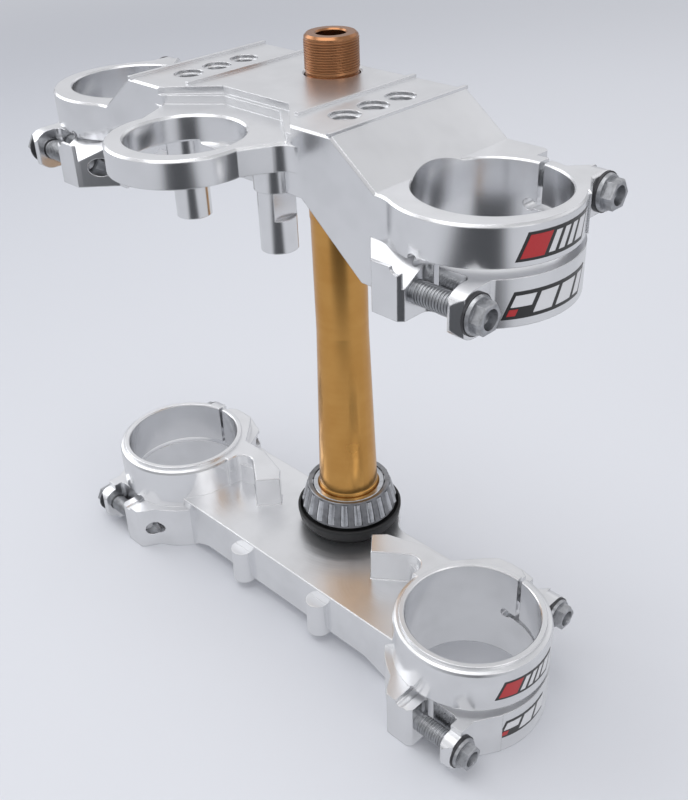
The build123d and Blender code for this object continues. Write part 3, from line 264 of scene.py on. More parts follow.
class Graph:
    """A thin layer over a shader node tree, so that materials read as formulas."""

    def __init__(self, name: str) -> None:
        """Starts an empty material.

        Args:
            name: Name of the new material.
        """
        self.material = bpy.data.materials.new(name)
        self.material.use_nodes = True
        self.tree = self.material.node_tree
        self.tree.nodes.clear()
        self.out = self.tree.nodes.new("ShaderNodeOutputMaterial")

    def node(self, kind: str, **values: object) -> bpy.types.Node:
        """Adds a node and sets its plain attributes.

        Args:
            kind: Blender's node type.
            **values: Attributes of the node.

        Returns:
            The node.
        """
        made = self.tree.nodes.new(kind)
        for key, value in values.items():
            setattr(made, key, value)
        return made

    def feed(self, socket: bpy.types.NodeSocket, value: Value) -> None:
        """Sets a socket from a number, a colour or another node's output.

        Args:
            socket: Input socket.
            value: Number, sequence or output socket.
        """
        if isinstance(value, bpy.types.NodeSocket):
            self.tree.links.new(value, socket)
        else:
            socket.default_value = value

    def math(self, operation: str, *values: Value) -> bpy.types.NodeSocket:
        """One math node.

        Args:
            operation: Blender's name of the operation.
            *values: One to three numbers or sockets.

        Returns:
            The result's socket.
        """
        made = self.node("ShaderNodeMath", operation=operation)
        for socket, value in zip(made.inputs, values):
            self.feed(socket, value)
        return made.outputs[0]

    def plus(self, first: Value, second: Value) -> bpy.types.NodeSocket:
        """Adds two values.

        Args:
            first: Number or socket.
            second: Number or socket.

        Returns:
            The sum's socket.
        """
        return self.math("ADD", first, second)

    def times(self, first: Value, second: Value) -> bpy.types.NodeSocket:
        """Multiplies two values.

        Args:
            first: Number or socket.
            second: Number or socket.

        Returns:
            The product's socket.
        """
        return self.math("MULTIPLY", first, second)

    def spread(self, value: Value, low: float, high: float) -> bpy.types.NodeSocket:
        """Maps a value smoothly from a range, which may run downwards, to 0 and 1.

        Args:
            value: Socket to map.
            low: Value that gives 0.
            high: Value that gives 1.

        Returns:
            The result's socket.
        """
        made = self.node("ShaderNodeMapRange", interpolation_type="SMOOTHSTEP")
        for socket, number in zip(made.inputs, (value, low, high)):
            self.feed(socket, number)
        return made.outputs[0]

    def blend(self, share: Value, first: Value, second: Value) -> bpy.types.NodeSocket:
        """Mixes two colours.

        Args:
            share: Share of the second colour.
            first: First colour.
            second: Second colour.

        Returns:
            The mixed colour's socket.
        """
        made = self.node("ShaderNodeMix", data_type="RGBA")
        self.feed(made.inputs[0], share)
        for socket, value in zip(made.inputs[6:8], (first, second)):
            self.feed(socket, (*value, 1.0) if isinstance(value, tuple) else value)
        return made.outputs[2]

    def place(self) -> bpy.types.NodeSocket:
        """Object coordinates.

        Returns:
            The coordinates' vector socket.
        """
        return self.node("ShaderNodeTexCoord").outputs["Object"]

    def parts(self, vector: Value) -> tuple[bpy.types.NodeSocket, ...]:
        """Splits a vector.

        Args:
            vector: Vector socket.

        Returns:
            Its X, Y and Z sockets.
        """
        made = self.node("ShaderNodeSeparateXYZ")
        self.feed(made.inputs[0], vector)
        return tuple(made.outputs)

    def join(self, x: Value, y: Value, z: Value) -> bpy.types.NodeSocket:
        """Makes a vector from three values.

        Args:
            x: First value.
            y: Second value.
            z: Third value.

        Returns:
            The vector's socket.
        """
        made = self.node("ShaderNodeCombineXYZ")
        for socket, value in zip(made.inputs, (x, y, z)):
            self.feed(socket, value)
        return made.outputs[0]

    def length(self, x: Value, y: Value) -> bpy.types.NodeSocket:
        """Distance from the origin of a plane.

        Args:
            x: First value.
            y: Second value.

        Returns:
            The distance's socket.
        """
        return self.math("SQRT", self.plus(self.times(x, x), self.times(y, y)))

    def noise(self, vector: Value, scale: float, detail: float = 3.0,
              roughness: float = 0.55) -> bpy.types.NodeSocket:
        """Fractal noise between 0 and 1.

        Args:
            vector: Where it is read.
            scale: Features per metre.
            detail: Octaves.
            roughness: Weight of the finer octaves.

        Returns:
            The noise's socket.
        """
        made = self.node("ShaderNodeTexNoise")
        self.feed(made.inputs["Vector"], vector)
        self.feed(made.inputs["Scale"], scale)
        self.feed(made.inputs["Detail"], detail)
        self.feed(made.inputs["Roughness"], roughness)
        return made.outputs["Fac"]

    def upward(self) -> bpy.types.NodeSocket:
        """How far the face looks up or down, which no joint changes for the clamps.

        Returns:
            Socket of the size of the normal's Z.
        """
        normal = self.parts(self.node("ShaderNodeNewGeometry").outputs["Normal"])
        return self.math("ABSOLUTE", normal[2])

    def gloss(self, finish: Finish, cloud: Value, reach: float = 2.0) -> bpy.types.NodeSocket:
        """Roughness in patches: the mean less the spread, plus reach times the spread times the noise.

        Args:
            finish: Constant values.
            cloud: Noise that tells the patches.
            reach: Full width of the change, in spreads.

        Returns:
            The roughness's socket.
        """
        return self.plus(finish.roughness - finish.spread, self.times(cloud, reach * finish.spread))

    def patches(self, finish: Finish, cloud: Value) -> bpy.types.NodeSocket:
        """The finish's colour, darker in patches.

        Args:
            finish: Constant values.
            cloud: Noise that tells the patches.

        Returns:
            The colour's socket.
        """
        dark = tuple(part * finish.shade for part in finish.color)
        return self.blend(self.spread(cloud, *finish.patch), finish.color, dark)

    def surface(self, finish: Finish, color: Value, roughness: Value,
                height: Value | None = None) -> bpy.types.Material:
        """Closes the material with a principled shader.

        Args:
            finish: Constant values.
            color: Colour tuple or socket.
            roughness: Number or socket.
            height: Socket of the surface's relief, 0 to 1, or nothing.

        Returns:
            The finished material.
        """
        shader = self.node("ShaderNodeBsdfPrincipled")
        self.feed(shader.inputs["Base Color"], (*color, 1.0) if isinstance(color, tuple) else color)
        shader.inputs["Metallic"].default_value = finish.metallic
        self.feed(shader.inputs["Roughness"], roughness)
        shader.inputs["Coat Weight"].default_value = finish.coat
        rounded = self.node("ShaderNodeBevel", samples=BEVEL_SAMPLES)
        rounded.inputs["Radius"].default_value = finish.edge_mm * MM
        normal = rounded.outputs[0]
        if height is not None:
            bump = self.node("ShaderNodeBump")
            bump.inputs["Strength"].default_value = 1.0
            bump.inputs["Distance"].default_value = finish.bump * MM
            self.feed(bump.inputs["Height"], height)
            self.feed(bump.inputs["Normal"], normal)
            normal = bump.outputs[0]
        self.feed(shader.inputs["Normal"], normal)
        self.tree.links.new(shader.outputs[0], self.out.inputs[0])
        return self.material


class Materials:
    """All the finishes of the object, one short method each."""

    def __init__(self) -> None:
        """Builds every material once."""
        self.aluminium = self._milled(ALUMINIUM, MillMarks())
        self.gold = self._turned(GOLD)
        self.copper = self._turned(COPPER)
        self.bearing = self._ground(BEARING)
        self.cage = self._ground(CAGE)
        self.rubber = self._rubber(RUBBER)
        self.zinc = self._plated(ZINC)
        self.washer = self._plated(WASHER)
        self.decals = {film.name: self._print(film) for film in (DECAL_BLACK, DECAL_WHITE, DECAL_RED)}

    def by_slot(self) -> dict[str, bpy.types.Material]:
        """Which material each slot of the record takes.

        Returns:
            Material by slot name.
        """
        return {
            Slot.ALUMINIUM.value: self.aluminium,
            Slot.GOLD.value: self.gold,
            Slot.BEARING.value: self.bearing,
            Slot.CAGE.value: self.cage,
            Slot.RUBBER.value: self.rubber,
            Slot.BOLT.value: self.zinc,
            Slot.WASHER.value: self.washer,
        }

    @staticmethod
    def _milled(finish: Finish, marks: MillMarks) -> bpy.types.Material:
        """Milled aluminium: cutter arcs on the lower plate, lines on walls, faint grain on level faces.

        The arcs run round the stem and round each stop block: their height is the sine of the distance from
        the nearer of the two, bent a little by noise, and they fade in patches as wiping with an abrasive
        pad leaves them.

        Args:
            finish: Constant values.
            marks: The cutter's marks.

        Returns:
            The finished material.
        """
        g = Graph(finish.name)
        place = g.place()
        x, y, z = g.parts(place)
        level = g.spread(g.upward(), *marks.level)
        stem = g.length(x, y)
        block = g.length(g.math("SUBTRACT", g.math("ABSOLUTE", x), marks.block_x), g.plus(y, marks.block_y))
        reach = g.math("MINIMUM", g.plus(stem, -marks.stem_clear), block)
        bent = g.plus(reach, g.times(g.noise(place, marks.wander_noise, 1.0), marks.wander))
        fine = g.math("SINE", g.times(bent, TURN * marks.fine))
        wide = g.math("SINE", g.times(bent, TURN * marks.wide))
        arcs = g.plus(g.times(fine, marks.fine_share), g.times(wide, marks.wide_share))
        wiped = g.spread(g.noise(place, marks.wiping, 1.0), *marks.wiped)
        wiped = g.times(g.times(wiped, g.spread(z, *marks.top)), g.spread(reach, *marks.reach))
        arcs = g.times(arcs, g.times(wiped, level))
        around = g.join(x, y, g.times(z, marks.stretch))
        lines = g.times(g.noise(around, marks.wall_lines, 1.0), g.math("SUBTRACT", 1.0, level))
        flow = g.join(g.times(x, marks.grain_stretch), y, z)
        brushed = g.times(g.noise(flow, finish.grain, 1.0), level)
        height = g.plus(g.plus(arcs, g.times(lines, marks.wall_share)), g.times(brushed, marks.grain_share))
        cloud = g.noise(place, finish.cloud, 2.0, 0.5)
        rough = g.plus(g.gloss(finish, cloud), g.times(level, marks.level_rough))
        return g.surface(finish, g.patches(finish, cloud), rough, height)

    @staticmethod
    def _turned(finish: Finish) -> bpy.types.Material:
        """Turned and anodised metal: faint rings along the axis, and a browner tone at the threaded end.

        Args:
            finish: Constant values.

        Returns:
            The finished material.
        """
        g = Graph(finish.name)
        place = g.place()
        _, _, z = g.parts(place)
        band = g.noise(g.join(0.0, 0.0, z), finish.grain, 3.0, 0.6)
        cloud = g.noise(place, finish.cloud, 3.0, 0.5)
        deep = tuple(part * tone for part, tone in zip(finish.color, DEEP_TONE))
        mix = g.plus(g.times(band, RING_SHARE), g.times(cloud, CLOUD_SHARE))
        color = g.blend(g.spread(mix, *finish.patch), finish.color, deep)
        threaded = g.spread(z, PAD_TOP * MM - TONE_START, PAD_TOP * MM - TONE_FULL)
        color = g.blend(threaded, color, COPPER.color)
        return g.surface(finish, color, g.gloss(finish, cloud), band)

    @staticmethod
    def _ground(finish: Finish) -> bpy.types.Material:
        """Ground bearing steel with a film of grease that changes the gloss.

        Args:
            finish: Constant values.

        Returns:
            The finished material.
        """
        g = Graph(finish.name)
        place = g.place()
        film = g.noise(place, finish.cloud, 3.0)
        fine = g.noise(place, finish.grain, 2.0)
        return g.surface(finish, g.patches(finish, film), g.gloss(finish, film), fine)

    @staticmethod
    def _plated(finish: Finish) -> bpy.types.Material:
        """Plated steel: a mottled, slightly grainy coat.

        Args:
            finish: Constant values.

        Returns:
            The finished material.
        """
        g = Graph(finish.name)
        place = g.place()
        mottle = g.noise(place, finish.cloud, 4.0, 0.65)
        grain = g.noise(place, finish.grain, 2.0)
        return g.surface(finish, g.patches(finish, mottle), g.gloss(finish, mottle, 2.4), grain)

    @staticmethod
    def _rubber(finish: Finish) -> bpy.types.Material:
        """Moulded rubber with a fine grain and a trace of dust.

        Args:
            finish: Constant values.

        Returns:
            The finished material.
        """
        g = Graph(finish.name)
        place = g.place()
        grain = g.noise(place, finish.grain, 3.0)
        dust = g.spread(g.noise(place, finish.cloud, 4.0), *finish.patch)
        color = g.blend(g.times(dust, DUST_SHARE), finish.color, DUST)
        return g.surface(finish, color, g.plus(finish.roughness, g.times(dust, DUST_ROUGH)), grain)

    @staticmethod
    def _print(finish: Finish) -> bpy.types.Material:
        """Printed film under a clear layer, with a faint change of gloss.

        Args:
            finish: Constant values.

        Returns:
            The finished material.
        """
        g = Graph(finish.name)
        rough = g.plus(finish.roughness, g.times(g.noise(g.place(), finish.cloud, 2.0), FILM_ROUGH))
        return g.surface(finish, finish.color, rough)


@dataclass
class Piece:
    """A closed mesh made from rings of points.

    Attributes:
        name: Object name.
        rings: Points in millimetres, shape (rings, points per ring, 3).
        material: Material of the piece.
        slot: Slot of the record that goes with it; not used.
        body: Body that it rides on.
        smooth: Whether its faces are shaded smooth.
    """

    name: str
    rings: np.ndarray
    material: bpy.types.Material
    slot: Slot
    body: str = ROOT_BODY
    smooth: bool = True

    def build(self) -> None:
        """Makes the object: quads between neighbouring rings, and a flat cap at each end."""
        count, around, _ = self.rings.shape
        index = np.arange(count * around).reshape(count, around)
        low, high = index[:-1], index[1:]
        quads = np.stack([low, np.roll(low, -1, 1), np.roll(high, -1, 1), high], axis=-1).reshape(-1, 4)
        points = self.rings.reshape(-1, 3) * MM
        caps = [index[0][::-1].tolist(), index[-1].tolist()]
        mesh = bpy.data.meshes.new(self.name)
        mesh.from_pydata(points.tolist(), [], outward(points, quads.tolist() + caps))
        if self.smooth:
            mesh.shade_smooth()
        else:
            mesh.shade_flat()
        mesh.materials.append(self.material)
        mesh.update()
        made = bpy.data.objects.new(self.name, mesh)
        bpy.context.scene.collection.objects.link(made)
        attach(made, self.body)


def outward(points: np.ndarray, faces: list[list[int]]) -> list[list[int]]:
    """Turns all the faces of a closed mesh outwards.

    Six times the signed volume is the sum over the triangles of a . (b x c), and it is positive when the
    faces point outwards.

    Args:
        points: Vertices.
        faces: Faces that all wind the same way.

    Returns:
        The faces, reversed if the volume was negative.
    """
    volume = 0.0
    for face in faces:
        first = points[face[0]]
        for second, third in zip(face[1:-1], face[2:]):
            volume += float(np.dot(first, np.cross(points[second], points[third])))
    return faces if volume > 0 else [face[::-1] for face in faces]


@dataclass(frozen=True)
class Thread:
    """A thread's ridge along +Z, in millimetres, that tapers to nothing at both ends.

    Attributes:
        radius: Radius of the cylinder that carries the ridge.
        depth: Height of the ridge.
        start: Lower end.
        stop: Upper end.
        pitch: Rise per turn.
        inward: Whether the ridge stands towards the axis.
        steps_per_turn: Rings per turn.
    """

    radius: float
    depth: float
    start: float
    stop: float
    pitch: float = COARSE_PITCH
    inward: bool = False
    steps_per_turn: int = 40

    def rings(self) -> np.ndarray:
        """The ridge's cross-sections.

        Each ring is a triangle whose foot lies a little inside the cylinder and whose crest stands out by the
        depth. The ridge's centre rises by one pitch a turn.

        Returns:
            Array of shape (rings, 3, 3).
        """
        half = RIDGE_HALF * self.pitch
        turns = (self.stop - self.start - 2 * half) / self.pitch
        steps = int(turns * self.steps_per_turn) + 1
        share = np.linspace(0.0, 1.0, steps)
        angle = share * turns * TURN
        height = self.start + half + share * turns * self.pitch
        fade = np.clip(np.minimum(share, 1.0 - share) * turns * RIDGE_FADE_PER_TURN, RIDGE_LEAST, 1.0)
        sign = -1.0 if self.inward else 1.0
        foot = np.full(steps, self.radius - sign * RIDGE_SINK)
        crest = self.radius + sign * self.depth * fade
        rings = np.empty((steps, 3, 3))
        corners = ((foot, -half * fade), (crest, 0.0 * fade), (foot, half * fade))
        for column, (reach, rise) in enumerate(corners):
            rings[:, column, 0] = reach * np.cos(angle)
            rings[:, column, 1] = reach * np.sin(angle)
            rings[:, column, 2] = height + rise
        return rings


@dataclass
class ThreadMaker:
    """Makes the threads that the CAD leaves plain.

    Attributes:
        materials: The finished materials.
    """

    materials: Materials

    def stem(self) -> Piece:
        """The stem's fine thread above the upper clamp.

        Returns:
            The piece.
        """
        thread = Thread(THREAD_R, STEM_RIDGE, PAD_TOP + STEM_RIDGE_FOOT, THREAD_TOP - STEM_RIDGE_HEAD,
                        STEM_PITCH, steps_per_turn=STEM_STEPS_PER_TURN)
        return Piece("stem_thread_ridge", thread.rings(), self.materials.copper, Slot.GOLD)

    def mount_holes(self) -> Iterator[Piece]:
        """Threads in the six bar mount holes.

        Yields:
            One piece per hole.
        """
        face = PAD_TOP - MOUNT_RECESS
        thread = Thread(MOUNT_HOLE_R, MOUNT_RIDGE, face - MOUNT_RIDGE_DEPTH, face - MOUNT_RIDGE_TOP,
                        inward=True)
        for side in Side:
            for number in (-1, 0, 1):
                rings = thread.rings()
                rings[..., 0] += side.value * MOUNT_X
                rings[..., 1] += MOUNT_Y + number * MOUNT_SPACING
                name = f"mount_thread_{side.name.lower()}_{number + 2}"
                yield Piece(name, rings, self.materials.aluminium, Slot.ALUMINIUM)

    def bolts(self) -> Iterator[Piece]:
        """Threads on the bolt shanks where they cross the open notch between boss and lug.

        Yields:
            One piece per bolt.
        """
        for node in frame["nodes"]:
            if "_bolt_" not in node:
                continue
            low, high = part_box(node)
            side = 1 if high[0] > 0 else -1
            lug_face = max(abs(low[0]), abs(high[0])) / MM - HEAD_LENGTH
            start = FORK_X + BOSS_FACES[node.split("_bolt_")[0]] + BOLT_RIDGE_CLEAR
            stop = lug_face - LUG_THICK - BOLT_RIDGE_CLEAR
            rings = Thread(BOLT_R, BOLT_RIDGE, start, stop).rings()
            turned = np.empty_like(rings)
            turned[..., 0] = side * rings[..., 2]
            turned[..., 1] = (low[1] + high[1]) / 2 / MM + rings[..., 0]
            turned[..., 2] = (low[2] + high[2]) / 2 / MM + rings[..., 1]
            yield Piece(f"{node}_thread", turned, self.materials.zinc, Slot.BOLT)

    def build(self) -> list[Piece]:
        """Makes all the threads.

        Returns:
            The pieces.
        """
        return [self.stem(), *self.mount_holes(), *self.bolts()]


@dataclass(frozen=True)
class Stripe:
    """One slanted field of colour on a band, in millimetres along and across it.

    Attributes:
        start: Where its lower edge starts along the band.
        width: Its width along the band.
        low: Its lower edge, as a share of the decal's height.
        high: Its upper edge, as a share of the decal's height.
        lift: How far it stands off the band.
        finish: Name of its print.
    """

    start: float
    width: float
    low: float
    high: float
    lift: float
    finish: str


RED_BADGE = (
    Stripe(0.0, 30.0, 0.0, 1.0, UNDER_PRINT, "decal_black"),
    Stripe(1.2, 8.5, 0.10, 0.90, OVER_PRINT, "decal_red"),
    Stripe(11.2, 2.6, 0.14, 0.86, OVER_PRINT, "decal_white"),
    Stripe(15.4, 2.6, 0.14, 0.86, OVER_PRINT, "decal_white"),
    Stripe(19.6, 2.6, 0.14, 0.86, OVER_PRINT, "decal_white"),
    Stripe(23.8, 4.8, 0.14, 0.86, OVER_PRINT, "decal_white"),
)
WHITE_BADGE = (
    Stripe(0.0, 34.0, 0.0, 1.0, UNDER_PRINT, "decal_black"),
    Stripe(1.2, 3.0, 0.12, 0.36, OVER_PRINT, "decal_red"),
    Stripe(1.2, 7.4, 0.44, 0.86, OVER_PRINT, "decal_white"),
    Stripe(10.4, 7.4, 0.14, 0.86, OVER_PRINT, "decal_white"),
    Stripe(19.6, 7.4, 0.14, 0.86, OVER_PRINT, "decal_white"),
    Stripe(28.8, 4.0, 0.14, 0.86, OVER_PRINT, "decal_white"),
)


@dataclass(frozen=True)
class Band:
    """A round clamping band and the decal on it, in millimetres and degrees, on the side of +X.

    Attributes:
        name: Start of the pieces' names.
        badge: The stripes.
        x: Centre of the band's circle, to the side.
        y: Centre of the band's circle, to the back.
        radius: The band's outer radius.
        bottom: Lower edge of the decal.
        start: Angle where the decal starts, from -Y towards +X.
    """

    name: str
    badge: tuple[Stripe, ...]
    x: float
    y: float
    radius: float
    bottom: float
    start: float


BANDS = (
    Band("stripe_upper_top", RED_BADGE, FORK_X - 1.5, FORK_Y - 2.0, 34.3, 229.4, 55.0),
    Band("stripe_upper_low", WHITE_BADGE, FORK_X - 2.0, FORK_Y - 3.0, 35.9, 210.4, 50.0),
    Band("stripe_lower_top", RED_BADGE, FORK_X, FORK_Y, 34.9, 30.5, 55.0),
    Band("stripe_lower_low", WHITE_BADGE, FORK_X - 1.0, FORK_Y - 2.2, 36.3, 8.0, 61.0),
)


@dataclass
class DecalMaker:
    """Puts generic slanted stripes where the bands carry a printed film.

    Attributes:
        materials: The finished materials.
    """

    materials: Materials

    def on_band(self, band: Band, side: Side) -> Iterator[Piece]:
        """One decal of several stripes on the outside of a round band.

        A point at a distance s along the band and a height h lies at the angle start + s / radius, and the
        slant shifts it along by the share of the height.

        Args:
            band: The band and its stripes.
            side: Fork leg.

        Yields:
            One piece per stripe.
        """
        for number, stripe in enumerate(band.badge):
            along = np.linspace(0.0, stripe.width, max(3, int(stripe.width / DECAL_STEP)))
            heights = band.bottom + DECAL_HEIGHT * np.array([stripe.low, stripe.high])
            inner, outer = band.radius - DECAL_SINK, band.radius + stripe.lift + DECAL_FILM
            corners = ((inner, 0), (outer, 0), (outer, 1), (inner, 1))
            rings = np.empty((len(along), 4, 3))
            for column, (reach, edge) in enumerate(corners):
                shift = DECAL_SLANT * (heights[edge] - band.bottom) / DECAL_HEIGHT
                angle = math.radians(band.start) + (stripe.start + along + shift) / band.radius
                rings[:, column, 0] = side.value * (band.x + reach * np.sin(angle))
                rings[:, column, 1] = band.y - reach * np.cos(angle)
                rings[:, column, 2] = heights[edge]
            name = f"{band.name}_{side.name.lower()}_{number}"
            yield Piece(name, rings, self.materials.decals[stripe.finish], Slot.ALUMINIUM, smooth=False)

    def build(self) -> list[Piece]:
        """Makes the decals of both fork legs.

        Returns:
            The pieces.
        """
        return [piece for side in Side for band in BANDS for piece in self.on_band(band, side)]


@dataclass(frozen=True)
class Lamp:
    """A square soft lamp.

    Attributes:
        name: Lamp name.
        place: Position.
        size: Side.
        power: Power in watts.
        color: Light colour.
    """

    name: str
    place: tuple[float, float, float]
    size: float
    power: float
    color: Color = (1.0, 1.0, 1.0)


# A broad top light, a window-like side light and a weak fill, all towards the middle of the object
LAMPS = (
    Lamp("top", (-0.2, -0.25, 1.7), 1.2, 8.0),
    Lamp("window", (-1.4, -0.3, 1.0), 1.0, 5.0, (0.97, 0.985, 1.0)),
    Lamp("fill", (1.5, -0.2, 0.9), 0.8, 2.0, (1.0, 0.985, 0.96)),
)
LAMPS_LOOK_AT = (0.0, -0.02, 0.13)

# The room's tone by the upward share of a ray: the two ends, and the steps between with their tint
ROOM_LOW = (0.0, (0.30, 0.31, 0.33, 1.0))
ROOM_HIGH = (0.95, (0.62, 0.625, 0.64, 1.0))
ROOM_STEPS = ((0.20, 0.42), (0.40, 0.90), (0.56, 0.96), (0.70, 0.60))
ROOM_GREEN = 1.005
ROOM_BLUE = 1.03


@dataclass(frozen=True)
class Studio:
    """Floor, backdrop, lamps and camera.

    Attributes:
        paper_far: Painted shade, the paper's tone away from the light.
        paper_near: Painted light, the paper's tone near the light.
        painted_dark_reflection: Painted dark reflection, what mirror rays alone find beyond the table's edge.
        room_pale: What the camera finds far from the object.
        painted_table_glow: Painted glow, the even pale emission that mirror rays alone find on the table.
        painted_glow_share: Share of that painted glow.
        table_end: Distances towards the camera between which the table ends.
        table_side: Distances to the side between which that end opens.
        table_axis: How far the end's middle lies from the camera's line.
        paper_shade: Weights of across and along in the paper's shading.
        shade_ends: Sums of the two between which the shading runs.
        haze: Distances from the stem between which the paper turns pale.
        paper_roughness: Roughness of the paper.
        sweep_front: Front end of the floor, measured away from the camera.
        sweep_depth: Where the floor starts to curve up.
        sweep_side: Half the floor's width.
        sweep_bend: Radius of the curve.
        sweep_top: Height of the backdrop.
        sweep_steps: Points on the curve.
        sweep_drop: How far the floor lies under the object.
    """

    paper_far: Color = (0.50, 0.515, 0.56)
    paper_near: Color = (0.74, 0.755, 0.80)
    painted_dark_reflection: Color = (0.060, 0.063, 0.070)
    room_pale: Color = (0.56, 0.575, 0.62)
    painted_table_glow: Color = (0.58, 0.59, 0.62)
    painted_glow_share: float = 0.65
    table_end: tuple[float, float] = (0.27, 0.36)
    table_side: tuple[float, float] = (0.34, 0.20)
    table_axis: float = 0.06
    # paper_shade: Weights of across and along in the paper's painted shade. shade_ends: Sums of the two
    # between which the painted shade runs.
    paper_shade: tuple[float, float] = (0.8, 0.5)
    shade_ends: tuple[float, float] = (-1.1, 0.1)
    haze: tuple[float, float] = (0.9, 1.9)
    paper_roughness: float = 0.7
    sweep_front: float = -5.0
    sweep_depth: float = 2.6
    sweep_side: float = 4.0
    sweep_bend: float = 0.5
    sweep_top: float = 0.9
    sweep_steps: int = 24
    sweep_drop: float = 0.0002

    def paper(self) -> bpy.types.Material:
        """Pale paper that metal sees end a little in front of the object, as on a small photo table.

        Along is the distance from the stem towards the camera, and across is the distance to the side of
        that line. Beyond the table's edge, near the camera's direction, mirror rays find a painted dark
        reflection: for them alone the paper's colour and its glow turn dark, in place of a dark room. On the
        table they find a painted glow for the most part, an even pale emission for mirror rays alone, as a
        lit table looks in polished metal. Far from the object the paper runs into the room's own pale tone.
        The paper's own colour is painted darker away from the lamps.

        Returns:
            The finished material.
        """
        g = Graph("studio_paper")
        x, y, _ = g.parts(g.place())
        turn = math.radians(CAMERA_AZIMUTH)
        along = g.math("SUBTRACT", g.times(x, math.sin(turn)), g.times(y, math.cos(turn)))
        across = g.plus(g.times(x, math.cos(turn)), g.times(y, math.sin(turn)))
        aside = g.math("ABSOLUTE", g.plus(across, self.table_axis))
        beyond = g.times(g.spread(along, *self.table_end), g.spread(aside, *self.table_side))
        # Painted shade: the paper's own colour runs from paper_far to paper_near, darker away from the lamps,
        # in place of a fall-off of their light.
        sideways, forwards = self.paper_shade
        shade = g.spread(g.plus(g.times(across, sideways), g.times(along, forwards)), *self.shade_ends)
        rays = g.node("ShaderNodeLightPath").outputs
        glossy = rays["Is Glossy Ray"]
        far = g.times(g.spread(g.length(x, y), *self.haze), rays["Is Camera Ray"])
        paper = Finish("studio_paper", self.paper_near, metallic=0.0, edge_mm=0.0)
        lit = g.blend(shade, self.paper_far, self.paper_near)
        # Painted dark reflection: for mirror rays beyond the table's edge the paper's colour turns dark.
        seen = g.blend(g.times(beyond, glossy), lit, self.painted_dark_reflection)
        material = g.surface(paper, seen, self.paper_roughness)
        # Painted glow: mirror rays alone see the paper emit an even pale tone on the table and a dark tone
        # beyond its edge; camera rays far from the object see the room's pale tone.
        mirrored = g.blend(beyond, self.painted_table_glow, self.painted_dark_reflection)
        for share, tone in ((g.times(glossy, self.painted_glow_share), mirrored), (far, (*self.room_pale, 1.0))):
            glow = g.node("ShaderNodeEmission")
            g.feed(glow.inputs["Color"], tone)
            mix = g.node("ShaderNodeMixShader")
            g.feed(mix.inputs[0], share)
            g.feed(mix.inputs[1], g.out.inputs[0].links[0].from_socket)
            g.feed(mix.inputs[2], glow.outputs[0])
            g.feed(g.out.inputs[0], mix.outputs[0])
        return material

    def sweep(self) -> None:
        """A pale floor that curves up into a backdrop far behind the object."""
        depth, bend = self.sweep_depth, self.sweep_bend
        turn = np.linspace(0.0, math.pi / 2, self.sweep_steps)
        curve = [(depth + bend * math.sin(t), bend * (1 - math.cos(t))) for t in turn]
        line = [(self.sweep_front, 0.0), *curve, (depth + bend, self.sweep_top)]
        direction = math.radians(CAMERA_AZIMUTH)
        away = np.array([-math.sin(direction), math.cos(direction)])
        across = np.array([math.cos(direction), math.sin(direction)])
        points = []
        for reach, height in line:
            for sign in (-1, 1):
                x, y = away * reach + across * self.sweep_side * sign
                points.append((float(x), float(y), float(height) - self.sweep_drop))
        faces = [(corner, corner + 1, corner + 3, corner + 2) for corner in range(0, 2 * (len(line) - 1), 2)]
        mesh = bpy.data.meshes.new("studio_sweep")
        mesh.from_pydata(points, [], faces)
        mesh.shade_smooth()
        mesh.materials.append(self.paper())
        made = bpy.data.objects.new("studio_sweep", mesh)
        bpy.context.scene.collection.objects.link(made)

    def world(self) -> None:
        """A pale room: even for the camera, and for light and mirror rays graded with the ray's height."""
        world = bpy.data.worlds.new("studio")
        world.use_nodes = True
        tree = world.node_tree
        tree.nodes.clear()
        out = tree.nodes.new("ShaderNodeOutputWorld")
        room = tree.nodes.new("ShaderNodeBackground")
        backdrop = tree.nodes.new("ShaderNodeBackground")
        coordinates = tree.nodes.new("ShaderNodeTexCoord")
        split = tree.nodes.new("ShaderNodeSeparateXYZ")
        ramp = tree.nodes.new("ShaderNodeValToRGB")
        path = tree.nodes.new("ShaderNodeLightPath")
        choose = tree.nodes.new("ShaderNodeMixShader")
        tree.links.new(coordinates.outputs["Generated"], split.inputs[0])
        tree.links.new(split.outputs[2], ramp.inputs[0])
        low, high = ramp.color_ramp.elements
        low.position, low.color = ROOM_LOW
        high.position, high.color = ROOM_HIGH
        for place, tone in ROOM_STEPS:
            middle = ramp.color_ramp.elements.new(place)
            middle.color = (tone, tone * ROOM_GREEN, tone * ROOM_BLUE, 1.0)
        backdrop.inputs[0].default_value = (*self.room_pale, 1.0)
        tree.links.new(ramp.outputs[0], room.inputs[0])
        tree.links.new(path.outputs["Is Camera Ray"], choose.inputs[0])
        tree.links.new(room.outputs[0], choose.inputs[1])
        tree.links.new(backdrop.outputs[0], choose.inputs[2])
        tree.links.new(choose.outputs[0], out.inputs[0])
        bpy.context.scene.world = world

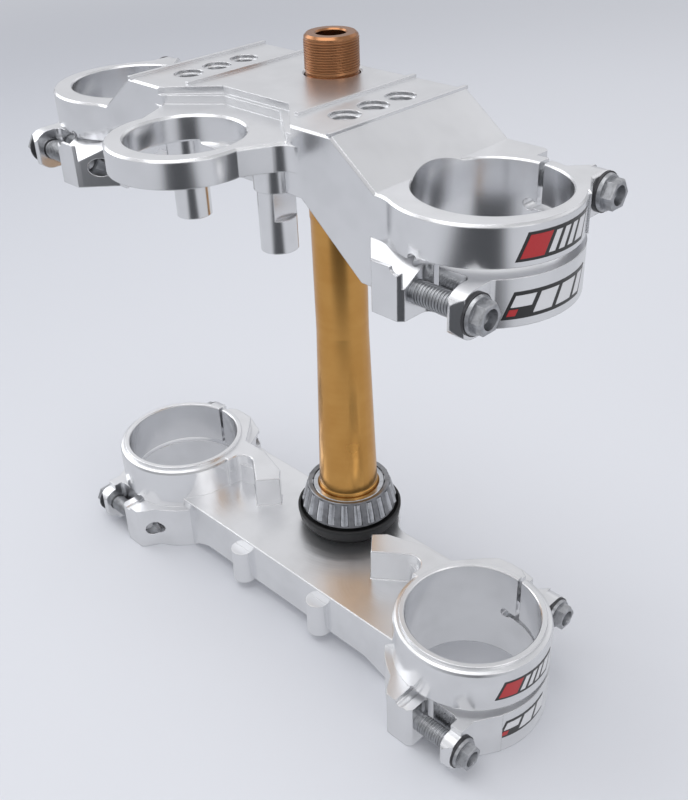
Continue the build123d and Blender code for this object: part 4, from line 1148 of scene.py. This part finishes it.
    def lamps(self) -> None:
        """The lamps, turned towards the middle of the object."""
        for lamp in LAMPS:
            data = bpy.data.lights.new(lamp.name, "AREA")
            data.shape = "SQUARE"
            data.size = lamp.size
            data.energy = lamp.power
            data.color = lamp.color
            made = bpy.data.objects.new(lamp.name, data)
            made.location = lamp.place
            aim = Vector(LAMPS_LOOK_AT) - made.location
            made.rotation_mode = "QUATERNION"
            made.rotation_quaternion = aim.to_track_quat("-Z", "Y")
            bpy.context.scene.collection.objects.link(made)

    def camera(self) -> None:
        """The camera that matches the photograph.

        Its back vector is (sin a cos e, -cos a cos e, sin e) for azimuth a and elevation e, and its right and
        up vectors are turned round it by the roll.
        """
        a, e, r = (math.radians(v) for v in (CAMERA_AZIMUTH, CAMERA_ELEVATION, CAMERA_ROLL))
        back = Vector((math.sin(a) * math.cos(e), -math.cos(a) * math.cos(e), math.sin(e)))
        right = Vector((math.cos(a), math.sin(a), 0.0))
        up = back.cross(right)
        turned_right = math.cos(r) * right + math.sin(r) * up
        turned_up = -math.sin(r) * right + math.cos(r) * up
        data = bpy.data.cameras.new("photo_camera")
        data.sensor_width = SENSOR_MM
        data.lens = FOCAL_PX / IMAGE_HEIGHT_PX * SENSOR_MM
        data.clip_start = CLIP_START
        made = bpy.data.objects.new("photo_camera", data)
        rotation = Matrix((turned_right, turned_up, back)).transposed().to_4x4()
        made.matrix_world = Matrix.Translation(Vector(CAMERA_PLACE_MM) * MM) @ rotation
        bpy.context.scene.collection.objects.link(made)
        bpy.context.scene.camera = made

    def build(self) -> None:
        """Sets up the whole studio."""
        self.sweep()
        self.world()
        self.lamps()
        self.camera()
        bpy.context.scene.view_settings.view_transform = "Standard"


def dress_nodes(materials: Materials) -> None:
    """Gives every CAD node its procedural material.

    Args:
        materials: The finished materials.
    """
    slots = {part["node"]: part["material_slot"] for part in frame["record"]["subparts"]}
    table = materials.by_slot()
    for name, node in frame["nodes"].items():
        for holder in node.material_slots:
            holder.material = table[slots[name]]


def main() -> None:
    """Dresses the nodes, adds the fine pieces and sets the studio."""
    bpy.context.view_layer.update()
    materials = Materials()
    dress_nodes(materials)
    for maker in (ThreadMaker(materials), DecalMaker(materials)):
        for piece in maker.build():
            piece.build()
    Studio().build()


if __name__ == "__main__":
    main()
